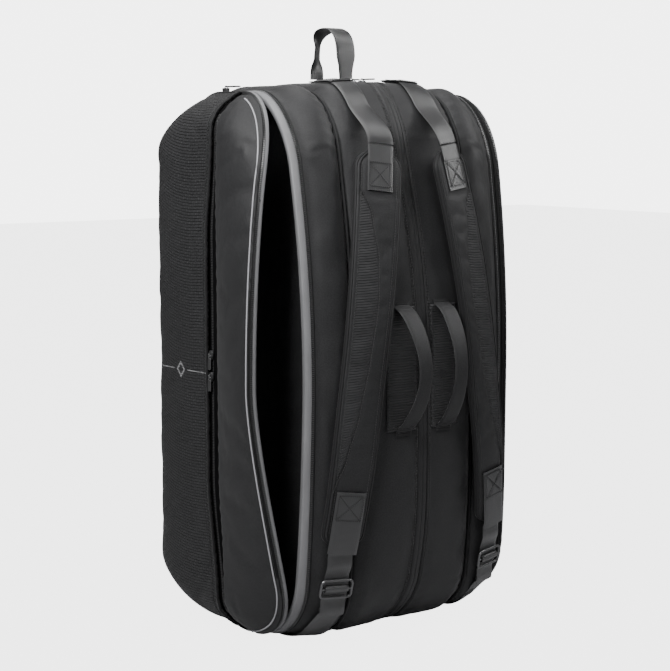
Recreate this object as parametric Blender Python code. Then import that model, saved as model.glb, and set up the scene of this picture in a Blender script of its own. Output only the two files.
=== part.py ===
"""Racket tournament bag standing on its end: three pods side by side, two of them with a zipped outer lid.

Frame: +Z runs up the bag's length, the harness side faces -Y and the bag's left side is -X. The origin is
the middle of the flat base board that the bag stands on. Metres.
"""

import math

import bmesh
import bpy
from mathutils import Matrix, Vector

# ---------------------------------------------------------------- driving dimensions
HEIGHT = 0.780  # base to the top of the middle pod
FRONT_Y = -0.160  # harness face at the middle of the bag
REAR_Y = 0.170  # rear face at the middle of the bag
PANEL = 0.005  # padded fabric wall
TAPE = 0.002  # zip tape, and flat webbing
GAP = 0.0004  # clearance between touching pieces

FRONT_TOP_RADIUS = 0.080  # of the middle pod's shoulder
VALLEY_X = 0.107  # seam between the middle pod and a side pod
BASE_FRONT_Y, BASE_REAR_Y = -0.075, 0.065  # edges of the flat base board
TOP_SEAM_Y = 0.072  # where the harness panels meet the rear panel on top

RIM_FRONT = Vector((0.1855, -0.118))  # plan point of a lid's rim at its opening edge
RIM_REAR = Vector((0.177, 0.158))  # plan point of a lid's rim at its fabric hinge
RIM_TOP, RIM_BOTTOM = 0.765, 0.009
RIM_RADII = (0.106, 0.098, 0.112, 0.090)  # front top, rear top, rear bottom, front bottom
RIM_DEPTH = (RIM_REAR - RIM_FRONT).length

LID_BASE = 0.0105  # the lid's shell starts this far outside the rim plane
LID_BULGE = {-1: 0.055, 1: 0.049}  # and rises this much further: the half-open left one stands fuller
SEAM_S = 0.127  # the lid's pocket seam, from the opening edge
SEAM_HALF = 0.0065  # half the width of the slot for the pocket zip
POCKET_RECESS = 0.0036  # how far the pocket zip lies below the lid's surface

LEAN_FROM, LEAN = 0.36, 0.52  # above this height the front curves back, by LEAN times the height squared
LEAN_BELOW, LEAN_LOW = 0.22, 0.90  # and below this one, likewise
LEAN_VALLEY, LEAN_RIM = 0.66, 0.50  # share of those curves at a seam and at a rim
LEAN_DEPTH = 0.54  # share of a pod's depth that they reach

LENS_MID, LENS_TOP, LENS_BOTTOM = 0.365, 0.766, 0.035  # heights of the half-open left zip
LENS_LID = Vector((-0.053, 0.020))  # how far the left lid's edge is pulled open at mid-height
LENS_POD = Vector((0.008, -0.006))  # and the pod's own edge

STRAP_TOP_X, STRAP_BOTTOM_X = 0.062, 0.138  # middle of a shoulder strap at its two ends
STRAP_TOP_Z, STRAP_BOTTOM_Z = 0.684, 0.152
STRAP_WIDTH, STRAP_THICK, STRAP_SLANT = 0.067, 0.011, 0.20
STRAP_HINGE_Z = 0.694
WEBBING = 0.038
TAIL_END = Vector((0.141, -0.1345, 0.052))  # lower end of the strap's tail webbing

HANDLE_X, HANDLE_LOW, HANDLE_HIGH = 0.036, 0.306, 0.468
HANDLE_WIDTH, HANDLE_BOW = 0.030, 0.046

LOOP_FRONT_Y, LOOP_REAR_Y, LOOP_HEIGHT, LOOP_WIDTH = 0.020, 0.090, 0.073, 0.025


# ---------------------------------------------------------------- small helpers
def mix(a, b, t):
    return a + (b - a) * t


def smooth(t):
    t = min(max(t, 0.0), 1.0)
    return t * t * (3 - 2 * t)


def clear_scene():
    for obj in list(bpy.data.objects):
        bpy.data.objects.remove(obj)


FINISHES = {  # colour, roughness, metallic
    "smooth_fabric": ((0.045, 0.045, 0.047), 0.80, 0.0),
    "ribbed_fabric": ((0.035, 0.035, 0.037), 0.75, 0.0),
    "lining": ((0.060, 0.060, 0.063), 0.85, 0.0),
    "binding": ((0.300, 0.300, 0.305), 0.60, 0.0),
    "zip_tape": ((0.020, 0.020, 0.021), 0.70, 0.0),
    "webbing": ((0.030, 0.030, 0.032), 0.55, 0.0),
    "strap_foam": ((0.040, 0.040, 0.042), 0.80, 0.0),
    "black_metal": ((0.030, 0.030, 0.032), 0.35, 0.9),
    "board": ((0.025, 0.025, 0.026), 0.60, 0.0),
}


def new_object(name, mesh, finish):
    """An object named as its node, with its own material."""
    colour, roughness, metallic = FINISHES[finish]
    material = bpy.data.materials.new(name + "_" + finish)
    material.use_nodes = True
    shader = material.node_tree.nodes["Principled BSDF"]
    shader.inputs["Base Color"].default_value = (*colour, 1.0)
    shader.inputs["Roughness"].default_value = roughness
    shader.inputs["Metallic"].default_value = metallic
    mesh.name = name
    mesh.materials.clear()
    mesh.materials.append(material)
    obj = bpy.data.objects.new(name, mesh)
    bpy.context.scene.collection.objects.link(obj)
    return obj


def joint_empty(name, position):
    """An empty on a joint's axis, which the pieces of that moving body are parented to."""
    empty = bpy.data.objects.new(name, None)
    empty.location = position
    bpy.context.scene.collection.objects.link(empty)
    bpy.context.view_layer.update()
    return empty


def attach(obj, empty):
    bpy.context.view_layer.update()
    obj.parent = empty
    obj.matrix_parent_inverse = empty.matrix_world.inverted()
    return obj


def mesh_from(bm, smooth_angle=40):
    bmesh.ops.recalc_face_normals(bm, faces=bm.faces)
    mesh = bpy.data.meshes.new("solid")
    bm.to_mesh(mesh)
    bm.free()
    mesh.shade_smooth()
    mesh.set_sharp_from_angle(angle=math.radians(smooth_angle))
    return mesh


def grid_normals(grid, wraps):
    """Unit normals of a grid of points, from the differences of its neighbours."""
    rows, columns = len(grid), len(grid[0])
    normals = []
    for i in range(rows):
        row = []
        for j in range(columns):
            along = grid[min(i + 1, rows - 1)][j] - grid[max(i - 1, 0)][j]
            if wraps:
                across = grid[i][(j + 1) % columns] - grid[i][j - 1]
            else:
                across = grid[i][min(j + 1, columns - 1)] - grid[i][max(j - 1, 0)]
            row.append(along.cross(across).normalized())
        normals.append(row)
    return normals


def offset_grid(grid, distance, outward, wraps=False):
    """The grid moved by distance along its normals, on the side where the vector outward(point) points."""
    middle = len(grid) // 2, len(grid[0]) // 2
    normals = grid_normals(grid, wraps)
    probe = grid[middle[0]][middle[1]]
    sign = 1 if normals[middle[0]][middle[1]].dot(outward(probe)) > 0 else -1
    return [
        [p + n * sign * distance for p, n in zip(row, normal_row)]
        for row, normal_row in zip(grid, normals)
    ]


def wall(outer, inner, wraps=False):
    """A closed solid between two grids of the same shape. Its loops close on themselves where wraps is set."""
    bm = bmesh.new()
    rows, columns = len(outer), len(outer[0])
    a = [[bm.verts.new(p) for p in row] for row in outer]
    b = [[bm.verts.new(p) for p in row] for row in inner]
    steps = columns if wraps else columns - 1
    for i in range(rows - 1):
        for j in range(steps):
            k = (j + 1) % columns
            bm.faces.new((a[i][j], a[i][k], a[i + 1][k], a[i + 1][j]))
            bm.faces.new((b[i][j], b[i + 1][j], b[i + 1][k], b[i][k]))
    for i, turn in ((0, 1), (rows - 1, -1)):
        for j in range(steps):
            k = (j + 1) % columns
            bm.faces.new((a[i][j], b[i][j], b[i][k], a[i][k])[::turn])
    if not wraps:
        for j, turn in ((0, -1), (columns - 1, 1)):
            for i in range(rows - 1):
                bm.faces.new((a[i][j], b[i][j], b[i + 1][j], a[i + 1][j])[::turn])
    return mesh_from(bm)


def ribbon(path, across, widths, thickness):
    """A flat band along a path. across is its width's direction and widths its width: one, or one for each point."""
    if isinstance(widths, float):
        widths = [widths] * len(path)
    if isinstance(across, Vector):
        across = [across] * len(path)
    front, back = [], []
    for i, point in enumerate(path):
        tangent = path[min(i + 1, len(path) - 1)] - path[max(i - 1, 0)]
        side = (across[i] - tangent * (across[i].dot(tangent) / tangent.length_squared)).normalized()
        normal = tangent.cross(side).normalized()
        ends = [point + side * (k * widths[i] / 2) for k in (-1, 0, 1)]
        front.append([p + normal * thickness / 2 for p in ends])
        back.append([p - normal * thickness / 2 for p in ends])
    return wall(front, back)


def arc(centre, radius, start, end, steps):
    """Points round an arc, without its last one. Angles in degrees."""
    return [
        (centre[0] + radius * math.cos(math.radians(mix(start, end, i / steps))),
         centre[1] + radius * math.sin(math.radians(mix(start, end, i / steps))))
        for i in range(steps)
    ]


def straight(start, end, steps):
    """Points along a line, without its last one."""
    return [(mix(start[0], end[0], i / steps), mix(start[1], end[1], i / steps)) for i in range(steps)]


# ---------------------------------------------------------------- side profile of the bag
STEPS = (9, 8, 3, 9, 6, 7, 4, 7)  # front, front-top arc, top, rear-top, rear, rear-bottom, bottom, front-bottom
FRONT_START, TOP_END, REAR_START = 0, sum(STEPS[:3]), sum(STEPS[:4])
BOTTOM_START, ARC_START, LOOP_POINTS = sum(STEPS[:6]), sum(STEPS[:7]), sum(STEPS)


def profile(depth, top, bottom, radii):
    """The closed outline of one pod seen from the side, as (s, z): s runs from the front to the rear."""
    ft, rt, rb, fb = radii
    return (
        straight((0, bottom + fb), (0, top - ft), STEPS[0])
        + arc((ft, top - ft), ft, 180, 90, STEPS[1])
        + straight((ft, top), (depth - rt, top), STEPS[2])
        + arc((depth - rt, top - rt), rt, 90, 0, STEPS[3])
        + straight((depth, top - rt), (depth, bottom + rb), STEPS[4])
        + arc((depth - rb, bottom + rb), rb, 0, -90, STEPS[5])
        + straight((depth - rb, bottom), (fb, bottom), STEPS[6])
        + arc((fb, bottom + fb), fb, 270, 180, STEPS[7])
    )


def lean(s, z, depth, share):
    """How far the stuffed bag's front curves back at a height, fading out towards the rear."""
    rise = max(z - LEAN_FROM, 0)
    reach = 0.26
    curve = LEAN * (rise * rise if rise < reach else reach * (2 * rise - reach))
    low = LEAN_LOW * max(LEAN_BELOW - z, 0) ** 2
    return (share * curve + share**2 * low) * max(1 - s / (LEAN_DEPTH * depth), 0)


def station(front, rear, top, bottom, radii, share):
    """A pod's outline standing in the vertical plane through two plan points."""
    depth = (rear - front).length
    along = (rear - front) / depth
    points = profile(depth, top, bottom, radii)
    points = [(s + lean(s, z, depth, share), z) for s, z in points]
    return [Vector((front.x + along.x * s, front.y + along.y * s, z)) for s, z in points]


def middle_section(x):
    """Front, rear, top, bottom and corner radii of the middle pod at a distance x from its centre."""
    crown = (x / VALLEY_X) ** 2
    dip = smooth((abs(x) - 0.085) / 0.022)
    front = FRONT_Y + 0.012 * crown + 0.008 * dip
    rear = REAR_Y - 0.004 * crown - 0.004 * dip
    top = HEIGHT - 0.008 * crown - 0.008 * dip
    bottom = 0.0015 + 0.004 * crown + 0.004 * dip
    radii = (FRONT_TOP_RADIUS, rear - TOP_SEAM_Y, rear - BASE_REAR_Y, BASE_FRONT_Y - front)
    return front, rear, top, bottom, radii


def middle_lean(x):
    return mix(1, LEAN_VALLEY, (x / VALLEY_X) ** 2)


def middle_station(x):
    front, rear, top, bottom, radii = middle_section(x)
    return station(Vector((x, front)), Vector((x, rear)), top, bottom, radii, middle_lean(x))


def lens(z):
    """How far the half-open zip gapes at a height, from 0 at its ends to 1."""
    if z >= LENS_MID:
        r = min((z - LENS_MID) / (LENS_TOP - LENS_MID), 1)
        return (1 - r * r) ** 0.9
    r = min((LENS_MID - z) / (LENS_MID - LENS_BOTTOM), 1)
    return (1 - r**1.4) ** 1.1


def pod_station(v, side):
    """Outline of a side pod, from its seam with the middle pod at v = 0 to the rim plane at v = 1."""
    swell = math.sin(math.pi * min(v / 0.7, 1))
    front0, rear0, top0, bottom0, radii0 = middle_section(VALLEY_X)
    start = VALLEY_X + 0.0016
    front = Vector((mix(start, RIM_FRONT.x, v), mix(front0, RIM_FRONT.y, v**1.8) - 0.004 * swell))
    rear = Vector((mix(start, RIM_REAR.x, v), mix(rear0, RIM_REAR.y, v * v) + 0.004 * swell))
    top = mix(top0, RIM_TOP, v**2.2) + 0.007 * swell
    bottom = mix(bottom0, RIM_BOTTOM, v * v) - 0.002 * swell
    radii = tuple(mix(a, b, v) for a, b in zip(radii0, RIM_RADII))
    points = station(front, rear, top, bottom, radii, mix(LEAN_VALLEY, LEAN_RIM, v))
    if side < 0:
        points = [Vector((-p.x, p.y, p.z)) for p in points]
        shift = Vector((LENS_POD.x, LENS_POD.y, 0))
        points = [p + shift * (v * v * lens(p.z) * smooth((0.02 - p.y) / 0.14)) for p in points]
    return points


# ---------------------------------------------------------------- the lids
def rim_frame(side):
    """Plan point of the rim's front edge, direction to the rear, and direction outwards."""
    front = Vector((side * RIM_FRONT.x, RIM_FRONT.y, 0))
    rear = Vector((side * RIM_REAR.x, RIM_REAR.y, 0))
    along = (rear - front).normalized()
    return front, along, Vector((along.y, -along.x, 0)) * side


def rim_heights(s, inset):
    """Lowest and highest point of the rim outline at s, for an outline drawn in by inset."""
    ft, rt, rb, fb = (r - inset for r in RIM_RADII)
    near, far = s - inset, RIM_DEPTH - inset - s

    def rise(front_radius, rear_radius):
        if near < front_radius:
            return front_radius - math.sqrt(max(front_radius**2 - (front_radius - near) ** 2, 0))
        if far < rear_radius:
            return rear_radius - math.sqrt(max(rear_radius**2 - (rear_radius - far) ** 2, 0))
        return 0.0

    return RIM_BOTTOM + inset + rise(fb, rb), RIM_TOP - inset - rise(ft, rt)


def lid_height(side, s, z, inset=0.001):
    """How far the lid's shell stands outside its base plane."""
    low, high = rim_heights(s, inset)
    from_front = (1 - (1 - min((s - inset) / 0.21, 1)) ** 2.8) * (0.96 + 0.16 * smooth((s - 0.15) / 0.10))
    from_rear = math.sqrt(max(1 - (1 - min((RIM_DEPTH - inset - s) / 0.036, 1)) ** 2, 0))
    edge = max(min(z - low, high - z), 0)
    from_ends = 1 - (1 - min(edge / 0.060, 1)) ** 2.5
    return LID_BULGE[side] * from_front * from_rear * from_ends


def lid_point(side, s, z, out):
    """A point of the lid, in the open shape of the left lid or the closed one of the right."""
    front, along, outward = rim_frame(side)
    point = front + along * (s + lean(s, z, RIM_DEPTH, LEAN_RIM)) + outward * out
    point.z = z
    if side < 0:
        pull = lens(z) * max(0.0, 1 - s / (SEAM_S - SEAM_HALF)) ** 1.2
        point += Vector((LENS_LID.x, LENS_LID.y, 0)) * pull
    return point


def lid_columns(first, last, count):
    """Distances from the rim's front edge, closer together near both edges of the lid."""
    inset = 0.001
    first, last = max(first, inset), min(last, RIM_DEPTH - inset)
    ease = lambda t: 0.5 - 0.5 * math.cos(math.pi * t)
    return [mix(first, last, mix(i / count, ease(i / count), 0.6)) for i in range(count + 1)]


def lid_grid(side, columns, rows, sink=0.0):
    """Local points (s, out, z) of a lid's outer surface, sunk towards the rim plane by sink."""
    grid = []
    for s in columns:
        low, high = rim_heights(s, 0.001)
        heights = [mix(low, high, mix(j / rows, 0.5 - 0.5 * math.cos(math.pi * j / rows), 0.85)) for j in range(rows + 1)]
        grid.append([Vector((s, LID_BASE + lid_height(side, s, z) - sink, z)) for z in heights])
    return grid


def lid_world(side, grid):
    return [[lid_point(side, p.x, p.z, p.y) for p in row] for row in grid]


def lid_shell(side, columns, rows, seam_row):
    """A wall of the lid, whose inner face stops level with the shell's base and is cut square at the seam."""
    outer = lid_grid(side, columns, rows)
    inner = offset_grid(outer, -PANEL, lambda p: Vector((0, 1, 0)))
    for row in inner:
        for point in row:
            point.y = max(point.y, LID_BASE)
    for point, above in zip(inner[seam_row], outer[seam_row]):
        point.x = above.x
    return wall(lid_world(side, outer), lid_world(side, inner))


# ---------------------------------------------------------------- shells of the three pods
def middle_panel(name, stations, indexes, finish):
    outer = [[middle_station(x)[k % LOOP_POINTS] for k in indexes] for x in stations]
    centre = Vector((0, 0, HEIGHT / 2))
    inner = offset_grid(outer, -PANEL, lambda p: p - centre)
    return new_object(name, wall(outer, inner), finish)


def build_middle_pod():
    front_run = range(ARC_START - LOOP_POINTS, TOP_END + 1)
    rear_run = range(TOP_END, BOTTOM_START + 1)
    edge = VALLEY_X - 0.0018
    half = [0.0112, 0.040, 0.068, 0.088, edge]
    for name, side in (("harness_panel_left", -1), ("harness_panel_right", 1)):
        stations = [side * x for x in half]
        panel = middle_panel(name, stations, front_run, "smooth_fabric")
        part_seams(panel, len(stations), -GAP)
    stations = [-x for x in reversed(half)] + [0.0] + half
    panel = middle_panel("rear_panel", stations, rear_run, "ribbed_fabric")
    part_seams(panel, len(stations), GAP)


def part_seams(panel, rows, by):
    """Draws both ends of a panel's loops back from the seams on the top and the base."""
    vertices = panel.data.vertices
    columns = len(vertices) // (2 * rows)
    for i in range(0, len(vertices), columns):
        for vertex in (vertices[i], vertices[i + columns - 1]):
            vertex.co.y += by


def rounded_box(low, high, bevel, segments=2):
    bm = bmesh.new()
    bmesh.ops.create_cube(bm, size=1)
    size = Vector(high) - Vector(low)
    bmesh.ops.scale(bm, vec=size, verts=bm.verts)
    bmesh.ops.translate(bm, vec=(Vector(high) + Vector(low)) / 2, verts=bm.verts)
    if bevel:
        upright = [e for e in bm.edges if abs(e.verts[0].co.z - e.verts[1].co.z) > 1e-6]
        bmesh.ops.bevel(bm, geom=upright, offset=bevel, segments=segments, affect="EDGES")
    return mesh_from(bm)


def build_base_board():
    """The flat board under the middle pod, between the harness panels and the rear panel."""
    rows = []
    for x in (-0.104, -0.088, -0.068, -0.040, -0.0112, 0, 0.0112, 0.040, 0.068, 0.088, 0.104):
        outline = middle_station(x)
        front, rear = outline[ARC_START].y + 2 * GAP, outline[BOTTOM_START].y - GAP
        rows.append([Vector((x, y, 0)) for y in (front, rear)])
    upper = [[p + Vector((0, 0, 0.0045)) for p in row] for row in rows]
    new_object("base_board", wall(rows, upper), "board")


def build_dividers():
    """A divider is sewn into the seam between two pods, all the way round."""
    for name, side in (("left_divider", -1), ("right_divider", 1)):
        front, rear, top, bottom, radii = middle_section(VALLEY_X)
        inset = 0.0008
        outline = station(
            Vector((0, front + inset)), Vector((0, rear - inset)), top - inset, bottom + inset,
            tuple(r - inset for r in radii), LEAN_VALLEY,
        )
        near, far = side * (VALLEY_X - 0.0012), side * (VALLEY_X + 0.0010)
        bm = bmesh.new()
        faces = [
            bm.faces.new([bm.verts.new((x, p.y, p.z)) for p in outline]) for x in (near, far)
        ]
        bmesh.ops.bridge_loops(bm, edges=[e for face in faces for e in face.edges])
        new_object(name, mesh_from(bm), "lining")


def build_side_pods():
    centre = Vector((0, 0, HEIGHT / 2))
    for word, side in (("left", -1), ("right", 1)):
        outer = [pod_station(v, side) for v in (0.0, 0.12, 0.25, 0.42, 0.6, 0.75, 0.86)]
        inner = offset_grid(outer, -PANEL, lambda p: p - centre, wraps=True)
        new_object(word + "_pod_shell", wall(outer, inner, wraps=True), "smooth_fabric")
        outer = [pod_station(v, side) for v in (0.868, 0.993)]
        inner = offset_grid(outer, -TAPE, lambda p: p - centre, wraps=True)
        new_object(word + "_pod_zip_tape", wall(outer, inner, wraps=True), "binding")


def rim_outline(inset):
    """The rim's outline as (s, z), drawn in by inset."""
    radii = tuple(r - inset for r in RIM_RADII)
    points = profile(RIM_DEPTH - 2 * inset, RIM_TOP - inset, RIM_BOTTOM + inset, radii)
    return [(s + inset, z) for s, z in points]


def lid_hinge(side):
    return Vector((side * RIM_REAR.x, RIM_REAR.y, 0.37))


def build_lid(word, side):
    """The lid's padded gusset and side panel, its zip tape, and the pocket between them."""
    hinge = joint_empty(word + "_lid_hinge", lid_hinge(side))
    gusset = lid_shell(side, lid_columns(0, SEAM_S - SEAM_HALF, 8), 20, -1)
    attach(new_object(word + "_lid_gusset", gusset, "smooth_fabric"), hinge)
    side_panel = lid_shell(side, lid_columns(SEAM_S + SEAM_HALF, 1, 8), 20, 0)
    attach(new_object(word + "_lid_side_panel", side_panel, "ribbed_fabric"), hinge)

    outer = [[lid_point(side, s, z, out) for s, z in rim_outline(inset)]
             for inset, out in ((0.0002, 0.0006), (0.0010, LID_BASE - 2 * GAP))]
    inner = [[lid_point(side, s, z, out) for s, z in rim_outline(inset)]
             for inset, out in ((0.0002 + TAPE, 0.0006), (0.0010 + TAPE, LID_BASE - 2 * GAP))]
    attach(new_object(word + "_lid_zip_tape", wall(outer, inner, wraps=True), "binding"), hinge)

    edges = [SEAM_S - SEAM_HALF + GAP, SEAM_S, SEAM_S + SEAM_HALF - GAP]
    outer = [row[2:-2] for row in lid_grid(side, edges, 20, sink=POCKET_RECESS)]
    inner = [[p - Vector((0, 0.0018, 0)) for p in row] for row in outer]
    chain = wall(lid_world(side, outer), lid_world(side, inner))
    attach(new_object(word + "_pocket_zip", chain, "zip_tape"), hinge)

    columns = lid_columns(SEAM_S - 0.045, RIM_DEPTH - 0.032, 6)
    liner = [[], []]
    for s in columns:
        low, high = rim_heights(s, 0.001)
        inner_row, outer_row = [], []
        for j in range(11):
            z = mix(low + 0.085, high - 0.085, j / 10)
            out = LID_BASE + lid_height(side, s, z) - PANEL - 0.0042
            outer_row.append(lid_point(side, s, z, out))
            inner_row.append(lid_point(side, s, z, out - 0.0015))
        liner[0].append(outer_row)
        liner[1].append(inner_row)
    attach(new_object(word + "_pocket_liner", wall(*liner), "lining"), hinge)
    return hinge


def build_hinge_strips():
    """The lining tape sewn inside each lid's hinge, along the straight of the rear edge."""
    for word, side in (("left", -1), ("right", 1)):
        front, along, outward = rim_frame(side)
        low, high = RIM_BOTTOM + RIM_RADII[2], RIM_TOP - RIM_RADII[1]
        grids = []
        for inset in (0.0060, 0.0075):
            base = front + along * (RIM_DEPTH - inset)
            grids.append([[base + outward * out + Vector((0, 0, z)) for z in (low, (low + high) / 2, high)]
                          for out in (-0.0035, 0.0045)])
        new_object(word + "_hinge_strip", wall(*grids), "lining")


# ---------------------------------------------------------------- zips
def build_centre_zip():
    """The closed chain of the middle pod's zip, from the base over the harness face to the top."""
    first, last = ARC_START - LOOP_POINTS, TOP_END
    chain = []
    for x in (-0.0104, 0.0, 0.0104):
        front, rear, top, bottom, radii = middle_section(x)
        sink = 0.0015
        radii = tuple(r - sink for r in radii)
        loop = station(Vector((x, front + sink)), Vector((x, rear - sink)), top - sink, bottom + sink, radii,
                       middle_lean(x))
        chain.append([loop[k % LOOP_POINTS] for k in range(first, last + 1)])
    for row in chain:
        row[0] = row[0] - Vector((0, GAP, 0))
        row[-1] = row[-1] - Vector((0, 0.001, 0))
    centre = Vector((0, 0, HEIGHT / 2))
    new_object("centre_zip_chain", wall(chain, offset_grid(chain, -0.0018, lambda p: p - centre)), "zip_tape")


SLIDER_LENGTH, SLIDER_WIDTH, SLIDER_HEIGHT = 0.0130, 0.0085, 0.0036
BAIL_AXIS = SLIDER_HEIGHT + 0.0016  # height of the pull's hinge line above the slider's underside


def extruded(outline, hole, width):
    """A plate from an outline in the Y-Z plane, with one hole, as wide as width along X."""
    bm = bmesh.new()
    rings = []
    for x in (-width / 2, width / 2):
        rings.append([[bm.verts.new((x, y, z)) for y, z in points] for points in (outline, hole)])
    for near, far in zip(*rings):
        count = len(near)
        for i in range(count):
            k = (i + 1) % count
            bm.faces.new((near[i], near[k], far[k], far[i]))
    count = len(outline)
    for ring in rings:
        for i in range(count):
            k = (i + 1) % count
            bm.faces.new((ring[0][i], ring[0][k], ring[1][k], ring[1][i]))
    return bm


def slider_mesh():
    """A zip slider: a body with tapered ends, and a bail over it. Its underside is at z = 0, its path along Y."""
    half_l, half_w = SLIDER_LENGTH / 2, SLIDER_WIDTH / 2
    bm = bmesh.new()
    outline = [(-half_w, -half_l * 0.55), (-half_w * 0.7, -half_l), (half_w * 0.7, -half_l), (half_w, -half_l * 0.55),
               (half_w, half_l * 0.6), (half_w * 0.55, half_l), (-half_w * 0.55, half_l), (-half_w, half_l * 0.6)]
    low = bm.faces.new([bm.verts.new((x, y, 0)) for x, y in outline])
    high = bm.faces.new([bm.verts.new((x * 0.86, y * 0.92, SLIDER_HEIGHT)) for x, y in outline])
    bmesh.ops.bridge_loops(bm, edges=list(low.edges) + list(high.edges))
    body = bpy.data.objects.new("slider_body", mesh_from(bm))
    base = SLIDER_HEIGHT - 0.0006
    inner_low, inner_high = SLIDER_HEIGHT + 0.0004, SLIDER_HEIGHT + 0.0028
    bail = extruded(
        [(-0.0029, base), (0.0029, base), (0.0029, inner_high), (0.0017, inner_high + 0.0010),
         (-0.0017, inner_high + 0.0010), (-0.0029, inner_high)],
        [(-0.0018, inner_low), (0.0018, inner_low), (0.0018, inner_high - 0.0006), (0.0012, inner_high),
         (-0.0012, inner_high), (-0.0018, inner_high - 0.0006)],
        0.0024,
    )
    bail = bpy.data.objects.new("slider_bail", mesh_from(bail))
    for helper in (body, bail):
        bpy.context.scene.collection.objects.link(helper)
        helper.hide_render = True
        helper.display_type = "WIRE"
    join = body.modifiers.new("join", "BOOLEAN")
    join.operation, join.solver, join.object = "UNION", "EXACT", bail
    graph = bpy.context.evaluated_depsgraph_get()
    mesh = bpy.data.meshes.new_from_object(body.evaluated_get(graph))
    for helper in (body, bail):
        bpy.data.objects.remove(helper)
    return mesh


def pull_mesh(length, width):
    """A zip pull lying along +Y from its hinge line at the origin, with an eye round the slider's bail."""
    half, bar, eye = width / 2, 0.0006, 0.0044
    thick = 0.0011
    outline = [(-half * 0.75, -bar), (half * 0.75, -bar), (half, eye + 0.001), (half, length * 0.86),
               (half * 0.6, length), (-half * 0.6, length), (-half, length * 0.86), (-half, eye + 0.001)]
    hole = [(-0.0019, bar), (0.0019, bar), (0.0019, eye * 0.7), (0.0019, eye),
            (0.0010, eye + 0.0002), (-0.0010, eye + 0.0002), (-0.0019, eye), (-0.0019, eye * 0.7)]
    bm = extruded(outline, hole, thick)
    bmesh.ops.rotate(bm, verts=bm.verts, matrix=Matrix(((0, 1, 0), (0, 0, 1), (1, 0, 0))))
    return mesh_from(bm)


def place(obj, position, along, normal):
    """Stands a piece built on the X-Y plane at a position: its Y runs along, its Z is the normal."""
    along = (along - normal * along.dot(normal)).normalized()
    frame = Matrix((along.cross(normal), along, normal)).transposed().to_4x4()
    obj.matrix_world = Matrix.Translation(position) @ frame


def build_slider(name, carrier, seat, along, normal, axis_position, pull_size=(0.026, 0.0080)):
    """A slider seated at a point of its zip, with its pull hinged in the bail. along is the pull's direction."""
    ride = joint_empty(name + "_path", axis_position)
    if carrier is not None:
        attach(ride, carrier)
    slider = new_object(name, SLIDER.copy(), "black_metal")
    place(slider, seat, along, normal)
    attach(slider, ride)
    pivot = joint_empty(name + "_bail", seat + normal * BAIL_AXIS)
    attach(pivot, ride)
    pull = new_object(name + "_pull", pull_mesh(*pull_size), "black_metal")
    place(pull, seat + normal * BAIL_AXIS, along, normal)
    attach(pull, pivot)


def rim_zip_points(side):
    """Where a lid's zip starts to turn down at its front and rear, on top and at the bottom."""
    front, along, _ = rim_frame(side)
    ft, rt, rb, fb = RIM_RADII
    up = Vector((0, 0, 1))
    return {
        "along": along,
        "rear_top": front + along * (RIM_DEPTH - rt) + up * RIM_TOP,
        "rear_top_centre": front + along * (RIM_DEPTH - rt + 0.0010) + up * (RIM_TOP - rt),
        "front_top": front + along * ft + up * RIM_TOP,
        "front_top_centre": front + along * ft + up * (RIM_TOP - ft),
        "bottom": front + along * (fb + 0.025) + up * RIM_BOTTOM,
    }


def build_sliders(lids):
    up = Vector((0, 0, 1))
    lift = up * 0.0021
    left, right = rim_zip_points(-1), rim_zip_points(1)
    build_slider("left_zip_top_slider", None, left["rear_top"] + lift, -left["along"], up,
                 left["rear_top_centre"], (0.032, 0.0110))
    build_slider("left_zip_bottom_slider", None, left["bottom"] - up * 0.0008, left["along"], -up, left["bottom"],
                 (0.026, 0.0090))
    build_slider("right_zip_rear_slider", None, right["rear_top"] + lift, right["along"], up,
                 right["rear_top_centre"])
    ahead = right["rear_top"] - right["along"] * 0.0220 + lift
    build_slider("right_zip_front_slider", None, ahead, -right["along"], up, ahead)

    seat_z = HEIGHT - 0.0010
    for name, y, pull_size in (("centre_zip_front_slider", LOOP_FRONT_Y - 0.038, (0.026, 0.0080)),
                               ("centre_zip_rear_slider", LOOP_FRONT_Y - 0.017, (0.012, 0.0080))):
        seat = Vector((0, y, seat_z))
        build_slider(name, None, seat, Vector((0, -1, 0)), up, seat, pull_size)

    spots = (("left_pocket_upper_slider", -1, 0.404), ("left_pocket_lower_slider", -1, 0.374),
             ("right_pocket_slider", 1, 0.390))
    for name, side, z in spots:
        seat = lid_point(side, SEAM_S, z, LID_BASE + lid_height(side, SEAM_S, z) - POCKET_RECESS + 0.0005)
        near = lid_point(side, SEAM_S - 0.01, z, LID_BASE + lid_height(side, SEAM_S - 0.01, z))
        far = lid_point(side, SEAM_S + 0.01, z, LID_BASE + lid_height(side, SEAM_S + 0.01, z))
        level = (far - near).normalized()
        normal = level.cross(up) * side
        if normal.dot(rim_frame(side)[2]) < 0:
            normal = -normal
        build_slider(name, lids[side], seat, Vector((0, 0, -1)), normal, seat,
                     (0.020, 0.0070))


# ---------------------------------------------------------------- straps, handles and loop
def strap_line(z):
    """Distance of a shoulder strap's middle line from the bag's middle at a height, and its outer face's Y."""
    t = (STRAP_TOP_Z - z) / (STRAP_TOP_Z - STRAP_BOTTOM_Z)
    x = mix(STRAP_TOP_X, STRAP_BOTTOM_X, t) + 0.003 * math.sin(math.pi * t)
    y = -0.1650 + 0.36 * max(z - 0.40, 0) ** 2 + 0.50 * max(0.30 - z, 0) ** 2
    return x, y


def strap_point(side, z, lift):
    """A point on a strap's middle line, raised from its outer face."""
    x, y = strap_line(z)
    return Vector((side * x, y - lift, z))


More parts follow.
